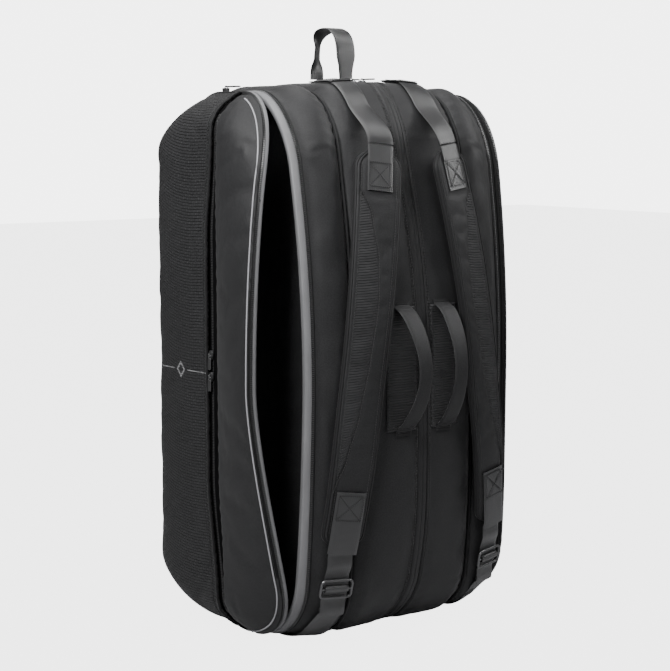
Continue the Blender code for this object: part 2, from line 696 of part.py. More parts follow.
def build_strap(word, side):
    """The padded strap with the tab and the tail webbing sewn on it, hinged where the top webbing flexes."""
    lift = 0.0016
    hinge = joint_empty(word + "_strap_hinge", strap_point(side, STRAP_HINGE_Z, lift))
    slant = Vector((side * 1.0, STRAP_SLANT, 0)).normalized()

    rows = 24
    path, widths = [], []
    for i in range(rows + 1):
        z = mix(STRAP_TOP_Z, STRAP_BOTTOM_Z, i / rows)
        path.append(strap_point(side, z, -STRAP_THICK / 2))
        end = min(i, rows - i) / 2
        widths.append(STRAP_WIDTH * (0.62 + 0.38 * math.sin(math.pi / 2 * min(end, 1))))
    attach(new_object(word + "_strap_pad", ribbon(path, slant, widths, STRAP_THICK), "strap_foam"), hinge)

    tab = [strap_point(side, z, lift) for z in (STRAP_HINGE_Z - 0.0025, 0.675, 0.650, 0.622)]
    attach(new_object(word + "_strap_top_tab", ribbon(tab, slant, WEBBING, TAPE), "webbing"), hinge)

    tail = [strap_point(side, z, lift) for z in (0.232, 0.205, 0.178, STRAP_BOTTOM_Z)]
    start, end = tail[-1], Vector((side * TAIL_END.x, TAIL_END.y, TAIL_END.z))
    tail += [start.lerp(end, t) for t in (0.25, 0.5, 0.75, 1.0)]
    attach(new_object(word + "_strap_tail", ribbon(tail, slant, WEBBING, TAPE), "webbing"), hinge)
    build_adjuster(word, hinge, start, end, slant)
    build_lower_webbing(word, side, end, slant)


def build_adjuster(word, hinge, start, end, slant):
    """A wire frame buckle with a middle bar, which slides along the strap's tail."""
    down = (end - start).normalized()
    normal = down.cross(slant).normalized()
    if normal.y > 0:
        normal = -normal
    seat = start.lerp(end, 0.60) + normal * (TAPE / 2 + 0.0021)
    slide = joint_empty(word + "_adjuster_slide", seat)
    attach(slide, hinge)
    half_w, half_h, wire = 0.0235, 0.0125, 0.0017
    bm = bmesh.new()
    corner = 0.006
    path = []
    for cx, cy, first in ((1, 1, 0), (-1, 1, 90), (-1, -1, 180), (1, -1, 270)):
        centre = (cx * (half_w - corner), cy * (half_h - corner))
        path += arc(centre, corner, first, first + 90, 3) + [
            (centre[0] + corner * math.cos(math.radians(first + 90)),
             centre[1] + corner * math.sin(math.radians(first + 90)))
        ]
    rings = []
    for i, (x, y) in enumerate(path):
        before, after = Vector(path[i - 1]), Vector(path[(i + 1) % len(path)])
        out = Vector(((after - before).y, -(after - before).x)).normalized()
        ring = []
        for k in range(8):
            turn = 2 * math.pi * k / 8
            ring.append(bm.verts.new((x + out.x * wire * math.cos(turn), y + out.y * wire * math.cos(turn),
                                      wire * math.sin(turn))))
        rings.append(ring)
    for i, ring in enumerate(rings):
        following = rings[(i + 1) % len(rings)]
        for k in range(8):
            n = (k + 1) % 8
            bm.faces.new((ring[k], following[k], following[n], ring[n]))
    frame = bpy.data.objects.new("frame", mesh_from(bm))
    bm = bmesh.new()
    bmesh.ops.create_cone(bm, segments=8, radius1=0.0015, radius2=0.0015, depth=2 * half_w - 0.001, cap_ends=True,
                          matrix=Matrix.Rotation(math.pi / 2, 4, "Y"))
    bar = bpy.data.objects.new("bar", mesh_from(bm))
    for helper in (frame, bar):
        bpy.context.scene.collection.objects.link(helper)
    join = frame.modifiers.new("join", "BOOLEAN")
    join.operation, join.solver, join.object = "UNION", "EXACT", bar
    graph = bpy.context.evaluated_depsgraph_get()
    mesh = bpy.data.meshes.new_from_object(frame.evaluated_get(graph))
    for helper in (frame, bar):
        bpy.data.objects.remove(helper)
    buckle = new_object(word + "_adjuster_buckle", mesh, "black_metal")
    place(buckle, seat, -down, normal)
    attach(buckle, slide)


def skin_path(side, near, far, indexes, lift):
    """A webbing's path over a pod between two outlines of it, and the direction of its width at each point."""
    path, across = [], []
    for k in indexes:
        ahead, behind = (near[(k + 1) % LOOP_POINTS] + far[(k + 1) % LOOP_POINTS], near[k - 1] + far[k - 1])
        out = Vector((0, behind.z - ahead.z, ahead.y - behind.y)).normalized()
        middle = (near[k] + far[k]) / 2 + out * lift
        path.append(Vector((side * middle.x, middle.y, middle.z)))
        width = far[k] - near[k]
        across.append(Vector((side * width.x, width.y, width.z)))
    return path, across


def build_lower_webbing(word, side, top, slant):
    """The webbing from the strap's tail down under the pod to its anchor in the bottom seam."""
    indexes = range(LOOP_POINTS - 4, ARC_START - 1, -1)
    path, across = skin_path(side, pod_station(0.16, 1), pod_station(0.66, 1), indexes, 0.0042)
    path = [Vector((top.x, p.y, p.z)) for p in path]
    path = [top + Vector((0, 0.0008, -0.0026))] + path
    new_object(word + "_lower_webbing", ribbon(path, [slant] + across, WEBBING, TAPE), "webbing")


def build_top_webbing(word, side):
    """The webbing that hangs a strap from the top seam, down over the rounded top of the middle pod."""
    indexes = range(sum(STEPS[:2]) + 1, STEPS[0] - 2, -1)
    path, across = skin_path(side, middle_station(0.043), middle_station(0.079), indexes, 0.0038)
    end = strap_point(side, STRAP_HINGE_Z + 0.0025, 0.0016)
    kept = [i for i, p in enumerate(path) if p.z > end.z + 0.006]
    path = [path[i] for i in kept] + [end]
    across = [across[i] for i in kept] + [Vector((side * 1.0, STRAP_SLANT / 2, 0))]
    new_object(word + "_top_webbing", ribbon(path, across, WEBBING, TAPE), "webbing")


def build_handle(word, side):
    """A carry handle bowed out from the harness face, on a line through its two ends."""
    face = middle_section(HANDLE_X)[0] - 0.0026
    hinge = joint_empty(word + "_handle_hinge", Vector((side * HANDLE_X, face, (HANDLE_LOW + HANDLE_HIGH) / 2)))
    path = []
    steps = 14
    for i in range(steps + 1):
        t = i / steps
        z = mix(HANDLE_LOW, HANDLE_HIGH, t)
        path.append(Vector((side * HANDLE_X, face - 0.0042 - HANDLE_BOW * math.sin(math.pi * t) ** 0.75, z)))
    widths = [HANDLE_WIDTH * (0.86 + 0.14 * math.sin(math.pi * i / steps)) for i in range(steps + 1)]
    handle = new_object(word + "_carry_handle", ribbon(path, Vector((1, 0, 0)), widths, 0.0045), "smooth_fabric")
    attach(handle, hinge)
    stations = [side * x for x in (0.0145, 0.040, 0.062)]
    skin = []
    for x in stations:
        y = middle_section(x)[0] - 2 * GAP
        skin.append([Vector((x, y, z)) for z in (HANDLE_LOW - 0.004, HANDLE_HIGH + 0.004)])
    outer = [[p - Vector((0, 0.0012, 0)) for p in row] for row in skin]
    new_object(word + "_handle_backing", wall(outer, skin), "ribbed_fabric")


def build_grab_loop():
    """The hanging loop on top, on a line through its two feet, and the patch that it is sewn to."""
    patch = HEIGHT + 0.0019
    mesh = rounded_box((-0.016, LOOP_FRONT_Y - 0.006, HEIGHT + 0.0004), (0.016, LOOP_REAR_Y + 0.002, patch), 0.004)
    new_object("grab_loop_patch", mesh, "webbing")
    middle_y, half = (LOOP_FRONT_Y + LOOP_REAR_Y) / 2, (LOOP_REAR_Y - LOOP_FRONT_Y) / 2
    hinge = joint_empty("grab_loop_hinge", Vector((0, middle_y, patch + 0.0005)))
    path, widths = [], []
    steps = 16
    for i in range(steps + 1):
        turn = math.pi * i / steps
        bulge = 1 + 0.16 * math.sin(turn)
        rise = LOOP_HEIGHT * math.sin(turn) ** 0.62 if 0 < i < steps else 0
        path.append(Vector((0, middle_y - half * math.cos(turn) * bulge, patch + 0.0040 + rise)))
        widths.append(mix(0.014, LOOP_WIDTH, smooth(min(i, steps - i) / 3)))
    loop = new_object("grab_loop", ribbon(path, Vector((1, 0, 0)), widths, TAPE), "webbing")
    attach(loop, hinge)


# ---------------------------------------------------------------- assembly
clear_scene()
SLIDER = slider_mesh()
build_middle_pod()
build_base_board()
build_dividers()
build_side_pods()
build_hinge_strips()
build_centre_zip()
LIDS = {side: build_lid(word, side) for word, side in (("left", -1), ("right", 1))}
build_sliders(LIDS)
for WORD, SIDE in (("left", -1), ("right", 1)):
    build_strap(WORD, SIDE)
    build_top_webbing(WORD, SIDE)
    build_handle(WORD, SIDE)
build_grab_loop()
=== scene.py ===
"""The finished look of the racket tournament bag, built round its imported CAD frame."""

import math

import bmesh
import bpy
import numpy as np
from mathutils import Matrix, Vector, noise


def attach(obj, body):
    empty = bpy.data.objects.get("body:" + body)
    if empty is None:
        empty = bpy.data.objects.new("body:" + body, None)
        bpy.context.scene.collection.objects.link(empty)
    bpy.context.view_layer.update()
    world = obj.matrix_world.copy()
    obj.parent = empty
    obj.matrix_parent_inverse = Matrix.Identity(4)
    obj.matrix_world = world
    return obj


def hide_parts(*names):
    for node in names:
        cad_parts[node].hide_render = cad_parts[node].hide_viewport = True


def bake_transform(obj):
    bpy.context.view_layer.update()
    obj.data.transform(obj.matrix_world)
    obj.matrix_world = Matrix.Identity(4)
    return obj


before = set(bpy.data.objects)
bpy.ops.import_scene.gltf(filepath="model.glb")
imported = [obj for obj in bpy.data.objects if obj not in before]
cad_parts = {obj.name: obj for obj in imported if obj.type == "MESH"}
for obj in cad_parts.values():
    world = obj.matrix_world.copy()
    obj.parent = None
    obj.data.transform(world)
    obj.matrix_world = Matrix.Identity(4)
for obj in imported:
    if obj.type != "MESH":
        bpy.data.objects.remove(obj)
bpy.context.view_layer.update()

# ---------------------------------------------------------------- the bag's dimensions, as in the CAD
HEIGHT = 0.780
FRONT_Y, REAR_Y = -0.160, 0.170
FRONT_TOP_RADIUS = 0.080
VALLEY_X = 0.107
BASE_FRONT_Y, BASE_REAR_Y = -0.075, 0.065
TOP_SEAM_Y = 0.072
RIM_FRONT, RIM_REAR = Vector((0.1855, -0.118)), Vector((0.177, 0.158))
RIM_TOP, RIM_BOTTOM = 0.765, 0.009
RIM_RADII = (0.106, 0.098, 0.112, 0.090)
RIM_DEPTH = (RIM_REAR - RIM_FRONT).length
LID_BASE = 0.0105
LID_BULGE = {-1: 0.055, 1: 0.049}
SEAM_S, SEAM_HALF, POCKET_RECESS, SLIT_WIDTH = 0.127, 0.0065, 0.0036, 0.009
LEAN_FROM, LEAN, LEAN_BELOW, LEAN_LOW = 0.36, 0.52, 0.22, 0.90
LEAN_VALLEY, LEAN_RIM, LEAN_DEPTH = 0.66, 0.50, 0.54
LENS_MID, LENS_TOP, LENS_BOTTOM = 0.365, 0.766, 0.035
LENS_LID, LENS_POD = Vector((-0.053, 0.020, 0)), Vector((0.008, -0.006, 0))
STRAP_TOP_X, STRAP_BOTTOM_X = 0.062, 0.138
STRAP_TOP_Z, STRAP_BOTTOM_Z = 0.684, 0.152
STRAP_THICK, STRAP_SLANT = 0.011, 0.20
STRAP_HINGE_Z = 0.694
WEBBING, FOLD_WIDTH = 0.038, 0.045
TAIL_END = Vector((0.141, -0.1345, 0.052))
HANDLE_X, HANDLE_LOW, HANDLE_HIGH = 0.036, 0.306, 0.468
HANDLE_WIDTH, HANDLE_BOW = 0.030, 0.046
LOOP_FRONT_Y, LOOP_REAR_Y, LOOP_HEIGHT, LOOP_WIDTH = 0.020, 0.090, 0.073, 0.025

POD_WALL, PANEL_WALL = 0.0040, 0.0035

SIDES = (("left", -1), ("right", 1))
UP = Vector((0, 0, 1))


# ---------------------------------------------------------------- small helpers
def mix(a, b, t):
    return a + (b - a) * t


def smooth(t):
    t = min(max(t, 0.0), 1.0)
    return t * t * (3 - 2 * t)


def smooth_array(t):
    t = np.clip(t, 0.0, 1.0)
    return t * t * (3 - 2 * t)


def bell(distance, width):
    """1 at no distance, falling off smoothly."""
    return math.exp(-(distance / width) ** 2)


def mirrored(point, side):
    return Vector((side * point.x, point.y, point.z))


# ---------------------------------------------------------------- materials
def new_material(name):
    material = bpy.data.materials.new(name)
    material.use_nodes = True
    tree = material.node_tree
    return material, tree, tree.nodes["Principled BSDF"]


def fill(tree, node, **values):
    """Sets a node's properties and its sockets. A socket is given by its name, or its number after an n."""
    for key, value in values.items():
        if hasattr(node, key):
            setattr(node, key, value)
            continue
        numbered = key[0] == "n" and key[1:].isdigit()
        socket = node.inputs[int(key[1:])] if numbered else node.inputs[key.replace("_", " ")]
        if isinstance(value, bpy.types.NodeSocket):
            tree.links.new(value, socket)
        else:
            socket.default_value = value
    return node


def add_node(tree, kind, **values):
    return fill(tree, tree.nodes.new("ShaderNode" + kind), **values)


def calc(tree, operation, *values):
    numbered = {"n%d" % i: value for i, value in enumerate(values)}
    return add_node(tree, "Math", operation=operation, **numbered).outputs[0]


def multiplied(tree, first, second, share=1.0):
    """One colour multiplied by a share of another."""
    return add_node(tree, "Mix", data_type="RGBA", blend_type="MULTIPLY", n0=share, n6=first,
                    n7=second).outputs[2]


def ramp(tree, fac, stops):
    node = add_node(tree, "ValToRGB")
    tree.links.new(fac, node.inputs["Fac"])
    elements = node.color_ramp.elements
    while len(elements) < len(stops):
        elements.new(0.5)
    for element, (place, colour) in zip(elements, stops):
        element.position = place
        element.color = (*colour, 1) if len(colour) == 3 else colour
    return node.outputs["Color"]


def grey(value):
    return (value, value, value * 1.02)


def coordinates(tree, uv, scale=(1, 1, 1)):
    """Texture coordinates in metres, from the mesh's unrolled sizes or from the object, times a scale."""
    source = add_node(tree, "TexCoord").outputs["UV" if uv else "Object"]
    return add_node(tree, "Mapping", Vector=source, Scale=scale).outputs["Vector"]


def noise_field(tree, uv, scale, **settings):
    """Noise with so many cells in a metre along each direction."""
    return add_node(tree, "TexNoise", Vector=coordinates(tree, uv, scale), Scale=1.0,
                    **settings).outputs["Fac"]


def cloth_material(name, tone, roughness, sheen=0.05, grain=1500.0, gloss=0.22):
    """Close-woven cloth: a fine thread grain, and tone and roughness that drift a little over the panel."""
    material, tree, shader = new_material(name)
    drift = noise_field(tree, True, (9, 9, 9), Detail=4.0, Roughness=0.6)
    nap = noise_field(tree, True, (520, 520, 520), Detail=2.0)
    fine = coordinates(tree, True, (grain, grain, grain))
    threads = add_node(tree, "TexVoronoi", Vector=fine, Scale=1.0, Randomness=0.55).outputs["Distance"]
    colour = ramp(tree, drift, [(0.30, grey(tone * 0.86)), (0.70, grey(tone * 1.14))])
    speck = ramp(tree, threads, [(0.0, grey(1.12)), (0.75, grey(0.72))])
    mottle = ramp(tree, nap, [(0.32, grey(0.62)), (0.68, grey(1.45))])
    rough = add_node(tree, "MapRange", Value=drift, To_Min=roughness - 0.06, To_Max=roughness + 0.08)
    relief = calc(tree, "MULTIPLY_ADD", nap, -0.9, threads)
    bump = add_node(tree, "Bump", Height=relief, Strength=0.35, Distance=0.00035, invert=True)
    fill(tree, shader, Base_Color=multiplied(tree, colour, multiplied(tree, speck, mottle), 0.8),
         Roughness=rough.outputs["Result"], Normal=bump.outputs["Normal"],
         Sheen_Weight=sheen, Sheen_Roughness=0.45, Specular_IOR_Level=gloss)
    return material


def ribbed_material(name, tone, cell=(0.0086, 0.0042)):
    """Ribbed weave: short raised ribs in rows, each row shifted by half a rib, over a fine thread grain."""
    material, tree, shader = new_material(name)
    bricks = add_node(tree, "TexBrick", Vector=coordinates(tree, True), Scale=1.0, offset=0.5, squash=1.0,
                      Color1=(1, 1, 1, 1), Color2=(0.86, 0.86, 0.86, 1), Mortar=(0, 0, 0, 1),
                      Mortar_Size=cell[1] * 0.20, Mortar_Smooth=1.0, Brick_Width=cell[0], Row_Height=cell[1])
    ribs = bricks.outputs["Color"]
    tint = ramp(tree, ribs, [(0.0, grey(tone * 0.15)), (0.8, grey(tone * 1.25)), (1.0, grey(tone * 1.6))])
    vary = ramp(tree, noise_field(tree, True, (8, 8, 8), Detail=4.0), [(0.3, grey(0.85)), (0.7, grey(1.15))])
    height = calc(tree, "MULTIPLY_ADD", noise_field(tree, True, (1400, 1400, 1400)), 0.15, ribs)
    bump = add_node(tree, "Bump", Height=height, Strength=1.0, Distance=0.0018)
    fill(tree, shader, Base_Color=multiplied(tree, tint, vary), Normal=bump.outputs["Normal"], Roughness=0.55,
         Sheen_Weight=0.04, Sheen_Roughness=0.4, Specular_IOR_Level=0.18)
    return material


def print_on(material, place, height, tone):
    """A thin printed line round the panel at a height, broken by a plain open diamond at a place along it."""
    tree = material.node_tree
    shader = tree.nodes["Principled BSDF"]
    split = add_node(tree, "SeparateXYZ", Vector=add_node(tree, "TexCoord").outputs["Object"])
    z = calc(tree, "ABSOLUTE", calc(tree, "SUBTRACT", split.outputs["Z"], height))
    y = calc(tree, "ABSOLUTE", calc(tree, "SUBTRACT", split.outputs["Y"], place))
    line = calc(tree, "MULTIPLY", calc(tree, "LESS_THAN", z, 0.0008), calc(tree, "GREATER_THAN", y, 0.0150))
    diamond = calc(tree, "ADD", calc(tree, "MULTIPLY", z, 0.8), y)
    ring = calc(tree, "COMPARE", diamond, 0.0078, 0.0018)
    plain = shader.inputs["Base Color"].links[0].from_socket
    printed = add_node(tree, "Mix", data_type="RGBA", n0=calc(tree, "MAXIMUM", line, ring), n6=plain,
                       n7=(*grey(tone), 1))
    fill(tree, shader, Base_Color=printed.outputs[2])
    return material


def webbing_material(name, tone, roughness, pitch=0.0016, sheen=0.05, gloss=0.5):
    """Satin webbing: fine ribs across its width, with a herringbone that turns over at the middle."""
    material, tree, shader = new_material(name)
    split = add_node(tree, "SeparateXYZ", Vector=coordinates(tree, True))
    fold = calc(tree, "PINGPONG", split.outputs["X"], 0.0016)
    slant = calc(tree, "MULTIPLY_ADD", fold, 0.5, split.outputs["Y"])
    wave = calc(tree, "SINE", calc(tree, "MULTIPLY", slant, 2 * math.pi / pitch))
    ribs = add_node(tree, "MapRange", Value=wave, From_Min=-1).outputs["Result"]
    tint = ramp(tree, ribs, [(0.0, grey(tone * 0.75)), (1.0, grey(tone * 1.15))])
    vary = ramp(tree, noise_field(tree, True, (40, 14, 40), Detail=3.0),
                [(0.3, grey(0.85)), (0.7, grey(1.15))])
    bump = add_node(tree, "Bump", Height=ribs, Strength=0.6, Distance=0.0003)
    fill(tree, shader, Base_Color=multiplied(tree, tint, vary), Normal=bump.outputs["Normal"],
         Roughness=roughness, Sheen_Weight=sheen, Sheen_Roughness=0.3, Specular_IOR_Level=gloss)
    return material


def hard_material(name, tone, roughness, metallic=0.0, scratch=0.08):
    """Painted metal or moulded plastic, with faint scuffs and brighter rubbed edges."""
    material, tree, shader = new_material(name)
    scuffs = noise_field(tree, False, (300, 300, 300), Detail=6.0)
    rub = add_node(tree, "NewGeometry").outputs["Pointiness"]
    edge = ramp(tree, rub, [(0.50, grey(tone)), (0.62, grey(min(tone * 3.0, 0.6)))])
    rough = add_node(tree, "MapRange", Value=scuffs, To_Min=max(roughness - scratch, 0.05),
                     To_Max=roughness + scratch)
    bump = add_node(tree, "Bump", Height=scuffs, Strength=0.1, Distance=0.0001)
    fill(tree, shader, Base_Color=edge, Roughness=rough.outputs["Result"], Normal=bump.outputs["Normal"],
         Metallic=metallic)
    return material


MAT = {
    "cloth": cloth_material("smooth_cloth", 0.0125, roughness=0.55),
    "strip": cloth_material("zip_strip", 0.0115, roughness=0.5, grain=1900.0),
    "cloth_dark": cloth_material("hem_cloth", 0.008, roughness=0.60, gloss=0.15),
    "pad_cloth": cloth_material("pad_cloth", 0.012, roughness=0.55),
    "lining": cloth_material("lining_cloth", 0.040, roughness=0.75, sheen=0.02, grain=1100.0, gloss=0.1),
    "ribbed": ribbed_material("ribbed_weave", 0.012),
    "ribbed_printed": print_on(ribbed_material("ribbed_printed_weave", 0.012), 0.075, 0.378, 0.16),
    "ribbed_fine": ribbed_material("ribbed_insert", 0.015, cell=(0.2400, 0.0036)),
    "tape": webbing_material("zip_tape", 0.005, roughness=0.60, pitch=0.0012, sheen=0.01, gloss=0.10),
    "hinge": cloth_material("hinge_cloth", 0.009, roughness=0.60, gloss=0.15),
    # The pocket zip's tape is painted near-black and without sheen: painted shade for the pocket's slot.
    "pocket_slot_shade": webbing_material("pocket_tape_painted_slot_shade", 0.0025, roughness=0.75, pitch=0.0012, sheen=0.0,
                               gloss=0.03),
    "binding": webbing_material("grey_binding", 0.110, roughness=0.50, pitch=0.0014),
    # Light grey piping: partly the reflective trim's own colour, partly a painted highlight along the lid's
    # edge.
    "piping": cloth_material("light_piping_with_painted_highlight", 0.260, roughness=0.38, sheen=0.02, grain=2200.0, gloss=0.5),
    "webbing": webbing_material("satin_webbing", 0.014, roughness=0.31, gloss=0.7),
    # Near-black thread: the thread's own dark colour, darkened further to paint the shade in the stitch
    # grooves.
    "thread": hard_material("thread_darkened_as_groove_shade", 0.0025, 0.70),
    "thread_grey": hard_material("grey_thread", 0.035, 0.50),
    "teeth": hard_material("zip_teeth", 0.010, 0.32),
    "metal": hard_material("black_metal", 0.055, 0.30, metallic=0.85),
    "rubber": hard_material("rubber_tab", 0.010, 0.55),
    "board": hard_material("base_board_face", 0.010, 0.60, scratch=0.15),
}


# ---------------------------------------------------------------- meshes from grids
def grid_normals(points, wrap_rows=False):
    """Unit normals of a grid of points with shape (rows, columns, 3)."""
    along = np.gradient(points, axis=0)
    across = np.gradient(points, axis=1)
    if wrap_rows:
        along = (np.roll(points, -1, axis=0) - np.roll(points, 1, axis=0)) / 2
    normals = np.cross(along, across)
    length = np.linalg.norm(normals, axis=2, keepdims=True)
    return normals / np.maximum(length, 1e-12)


def outward_normals(points, centre, wrap_rows=False):
    """The grid's normals, all turned to the side away from a centre point."""
    normals = grid_normals(points, wrap_rows)
    side = np.sum(normals * (points - np.array(centre)), axis=2).mean()
    return normals if side > 0 else -normals


def row_lengths(points):
    """Distance in metres along each row of a grid, for each of its points."""
    steps = np.linalg.norm(np.diff(points, axis=1), axis=2)
    return np.concatenate([np.zeros((points.shape[0], 1)), np.cumsum(steps, axis=1)], axis=1)


def column_lengths(points):
    return row_lengths(points.transpose(1, 0, 2)).T


def link(obj):
    bpy.context.scene.collection.objects.link(obj)
    return obj


def grid_object(name, points, material, wall=0.0, inner=None, wrap_rows=False, outward=None, uv_turn=False):
    """An object from a grid of points. wall is its thickness, added inwards, and inner is its lining."""
    points = np.asarray(points, float)
    rows, columns = points.shape[:2]
    if outward is not None:
        normals = grid_normals(points, wrap_rows)
        flip = np.sum(normals * outward, axis=2).mean() < 0
    else:
        flip = False
    index = np.arange(rows * columns).reshape(rows, columns)
    last = rows if wrap_rows else rows - 1
    faces = []
    for i in range(last):
        k = (i + 1) % rows
        for j in range(columns - 1):
            face = (index[i, j], index[k, j], index[k, j + 1], index[i, j + 1])
            faces.append(face[::-1] if flip else face)
    mesh = bpy.data.meshes.new(name)
    mesh.from_pydata(points.reshape(-1, 3).tolist(), [], faces)
    across, along = row_lengths(points), column_lengths(points)
    if wrap_rows:
        closing = np.linalg.norm(points[0] - points[-1], axis=1).mean()
    layer = mesh.uv_layers.new(name="UVMap")
    flat_u, flat_v = across.reshape(-1), along.reshape(-1)
    if uv_turn:
        flat_u, flat_v = flat_v, flat_u
    corners = np.zeros(len(mesh.loops), dtype=np.int64)
    mesh.loops.foreach_get("vertex_index", corners)
    uv = np.stack([flat_u[corners], flat_v[corners]], axis=1)
    if wrap_rows:
        total = along[-1].mean() + closing
        loops_per_row = 4 * (columns - 1)
        tail = np.arange((rows - 1) * loops_per_row, rows * loops_per_row)
        column = 0 if uv_turn else 1
        low = uv[tail, column] < total / 2
        uv[tail[low], column] += total
    layer.data.foreach_set("uv", uv.reshape(-1).astype(np.float32))
    mesh.materials.append(material)
    mesh.shade_smooth()
    obj = link(bpy.data.objects.new(name, mesh))
    if wall:
        mesh.materials.append(inner or material)
        solid = obj.modifiers.new("wall", "SOLIDIFY")
        solid.thickness = wall
        solid.offset = -1
        solid.use_even_offset = False
        if inner:
            solid.material_offset = 1
    return obj


def wander(points, scale, amount, seed=0.0):
    """Smooth random values for each point of a grid, the same at every run."""
    flat = points.reshape(-1, 3)
    values = [noise.noise(Vector((p[0] * scale + seed, p[1] * scale, p[2] * scale))) for p in flat]
    return np.array(values).reshape(points.shape[:2]) * amount


def tube(name, path, radius, material, sides=8, closed=False, flat=1.0, guide=None):
    """A round cord along a path. flat squeezes it along the guide direction, one vector for each point."""
    path = [Vector(p) for p in path]
    count = len(path)
    bm = bmesh.new()
    rings = []
    previous = None
    for i, point in enumerate(path):
        ahead = path[(i + 1) % count] if closed else path[min(i + 1, count - 1)]
        behind = path[i - 1] if closed or i else path[0]
        tangent = (ahead - behind).normalized()
        if guide is not None:
            first = Vector(guide[i])
        elif previous is None:
            first = Vector((0.3, 0.2, 1)) if abs(tangent.z) < 0.8 else Vector((1, 0.1, 0.2))
        else:
            first = previous
        first = (first - tangent * first.dot(tangent)).normalized()
        previous = first
        second = tangent.cross(first)
        r = radius[i] if hasattr(radius, "__len__") else radius
        turns = [2 * math.pi * k / sides for k in range(sides)]
        ring = [point + first * (r * flat * math.cos(t)) + second * (r * math.sin(t)) for t in turns]
        rings.append([bm.verts.new(p) for p in ring])
    steps = count if closed else count - 1
    for i in range(steps):
        a, b = rings[i], rings[(i + 1) % count]
        for k in range(sides):
            n = (k + 1) % sides
            bm.faces.new((a[k], a[n], b[n], b[k]))
    if not closed:
        bm.faces.new(rings[0][::-1])
        bm.faces.new(rings[-1])
    return mesh_object(name, bm, material)


def mesh_object(name, bm, material, angle=50):
    bmesh.ops.recalc_face_normals(bm, faces=bm.faces)
    mesh = bpy.data.meshes.new(name)
    bm.to_mesh(mesh)
    bm.free()
    mesh.materials.append(material)
    mesh.shade_smooth()
    mesh.set_sharp_from_angle(angle=math.radians(angle))
    return link(bpy.data.objects.new(name, mesh))


def resample(path, pitch):
    """Points at an even pitch along a path, with the path's directions there."""
    points = np.array([list(p) for p in path], float)
    steps = np.linalg.norm(np.diff(points, axis=0), axis=1)
    marks = np.concatenate([[0], np.cumsum(steps)])
    count = max(int(marks[-1] / pitch), 1)
    at = (np.arange(count) + 0.5) * (marks[-1] / count)
    places = np.stack([np.interp(at, marks, points[:, k]) for k in range(3)], axis=1)
    ahead = np.stack([np.interp(at + 0.0008, marks, points[:, k]) for k in range(3)], axis=1)
    behind = np.stack([np.interp(at - 0.0008, marks, points[:, k]) for k in range(3)], axis=1)
    return places, ahead - behind


STITCH_PROFILE = ((-1.0, 0.35), (-0.55, 1.0), (0.55, 1.0), (1.0, 0.35))


def stitches(name, paths, material, pitch=0.0042, length=0.0034, radius=0.00062):
    """Rows of raised stitches along paths, as one mesh."""
    verts, faces = [], []
    for path in paths:
        places, ways = resample(path, pitch)
        for place, way in zip(places, ways):
            tangent = Vector(way)
            if tangent.length < 1e-9:
                continue
            tangent.normalize()
            helper = UP if abs(tangent.z) < 0.9 else Vector((1, 0, 0))
            first = tangent.cross(helper).normalized()
            second = tangent.cross(first)
            base = len(verts)
            for offset, size in STITCH_PROFILE:
                for k in range(5):
                    turn = 2 * math.pi * k / 5
                    spot = Vector(place) + tangent * (offset * length / 2)
                    spot += (first * math.cos(turn) + second * math.sin(turn)) * (radius * size)
                    verts.append(tuple(spot))
            for i in range(3):
                for k in range(5):
                    n = (k + 1) % 5
                    a, b = base + i * 5, base + (i + 1) * 5
                    faces.append((a + k, a + n, b + n, b + k))
            faces.append(tuple(base + k for k in range(4, -1, -1)))
            faces.append(tuple(base + 15 + k for k in range(5)))
    mesh = bpy.data.meshes.new(name)
    mesh.from_pydata(verts, [], faces)
    mesh.materials.append(material)
    mesh.shade_smooth()
    return link(bpy.data.objects.new(name, mesh))


def bars(name, path, across, normals, pitch, size, material):
    """Small blocks side by side along a path, such as a zip's teeth. size is (along, across, thick)."""
    bm = bmesh.new()
    places, ways = resample(path, pitch)
    guide = np.array([list(a) for a in across])
    up = np.array([list(n) for n in normals])
    share = np.linspace(0, len(guide) - 1, len(places))
    for i, (place, way) in enumerate(zip(places, ways)):
        k = int(round(share[i]))
        y = Vector(way).normalized()
        z = Vector(up[k])
        z = (z - y * z.dot(y)).normalized()
        x = y.cross(z)
        corners = []
        for dz, inset in ((-0.5, 1.0), (0.5, 0.72)):
            for dx, dy in ((-1, -1), (1, -1), (1, 1), (-1, 1)):
                spot = Vector(place) + x * (dx * size[1] / 2 * inset) + y * (dy * size[0] / 2 * inset)
                corners.append(bm.verts.new(spot + z * (dz * size[2])))
        low, high = corners[:4], corners[4:]
        bm.faces.new(low[::-1])
        bm.faces.new(high)
        for a in range(4):
            b = (a + 1) % 4
            bm.faces.new((low[a], low[b], high[b], high[a]))
    return mesh_object(name, bm, material, angle=30)


def close_ends(obj):
    """Welds a wrapped grid's first and last columns and fills its two open ends."""
    bm = bmesh.new()
    bm.from_mesh(obj.data)
    bmesh.ops.remove_doubles(bm, verts=bm.verts, dist=1e-6)
    bmesh.ops.holes_fill(bm, edges=[e for e in bm.edges if e.is_boundary])
    bmesh.ops.recalc_face_normals(bm, faces=bm.faces)
    bm.to_mesh(obj.data)
    bm.free()


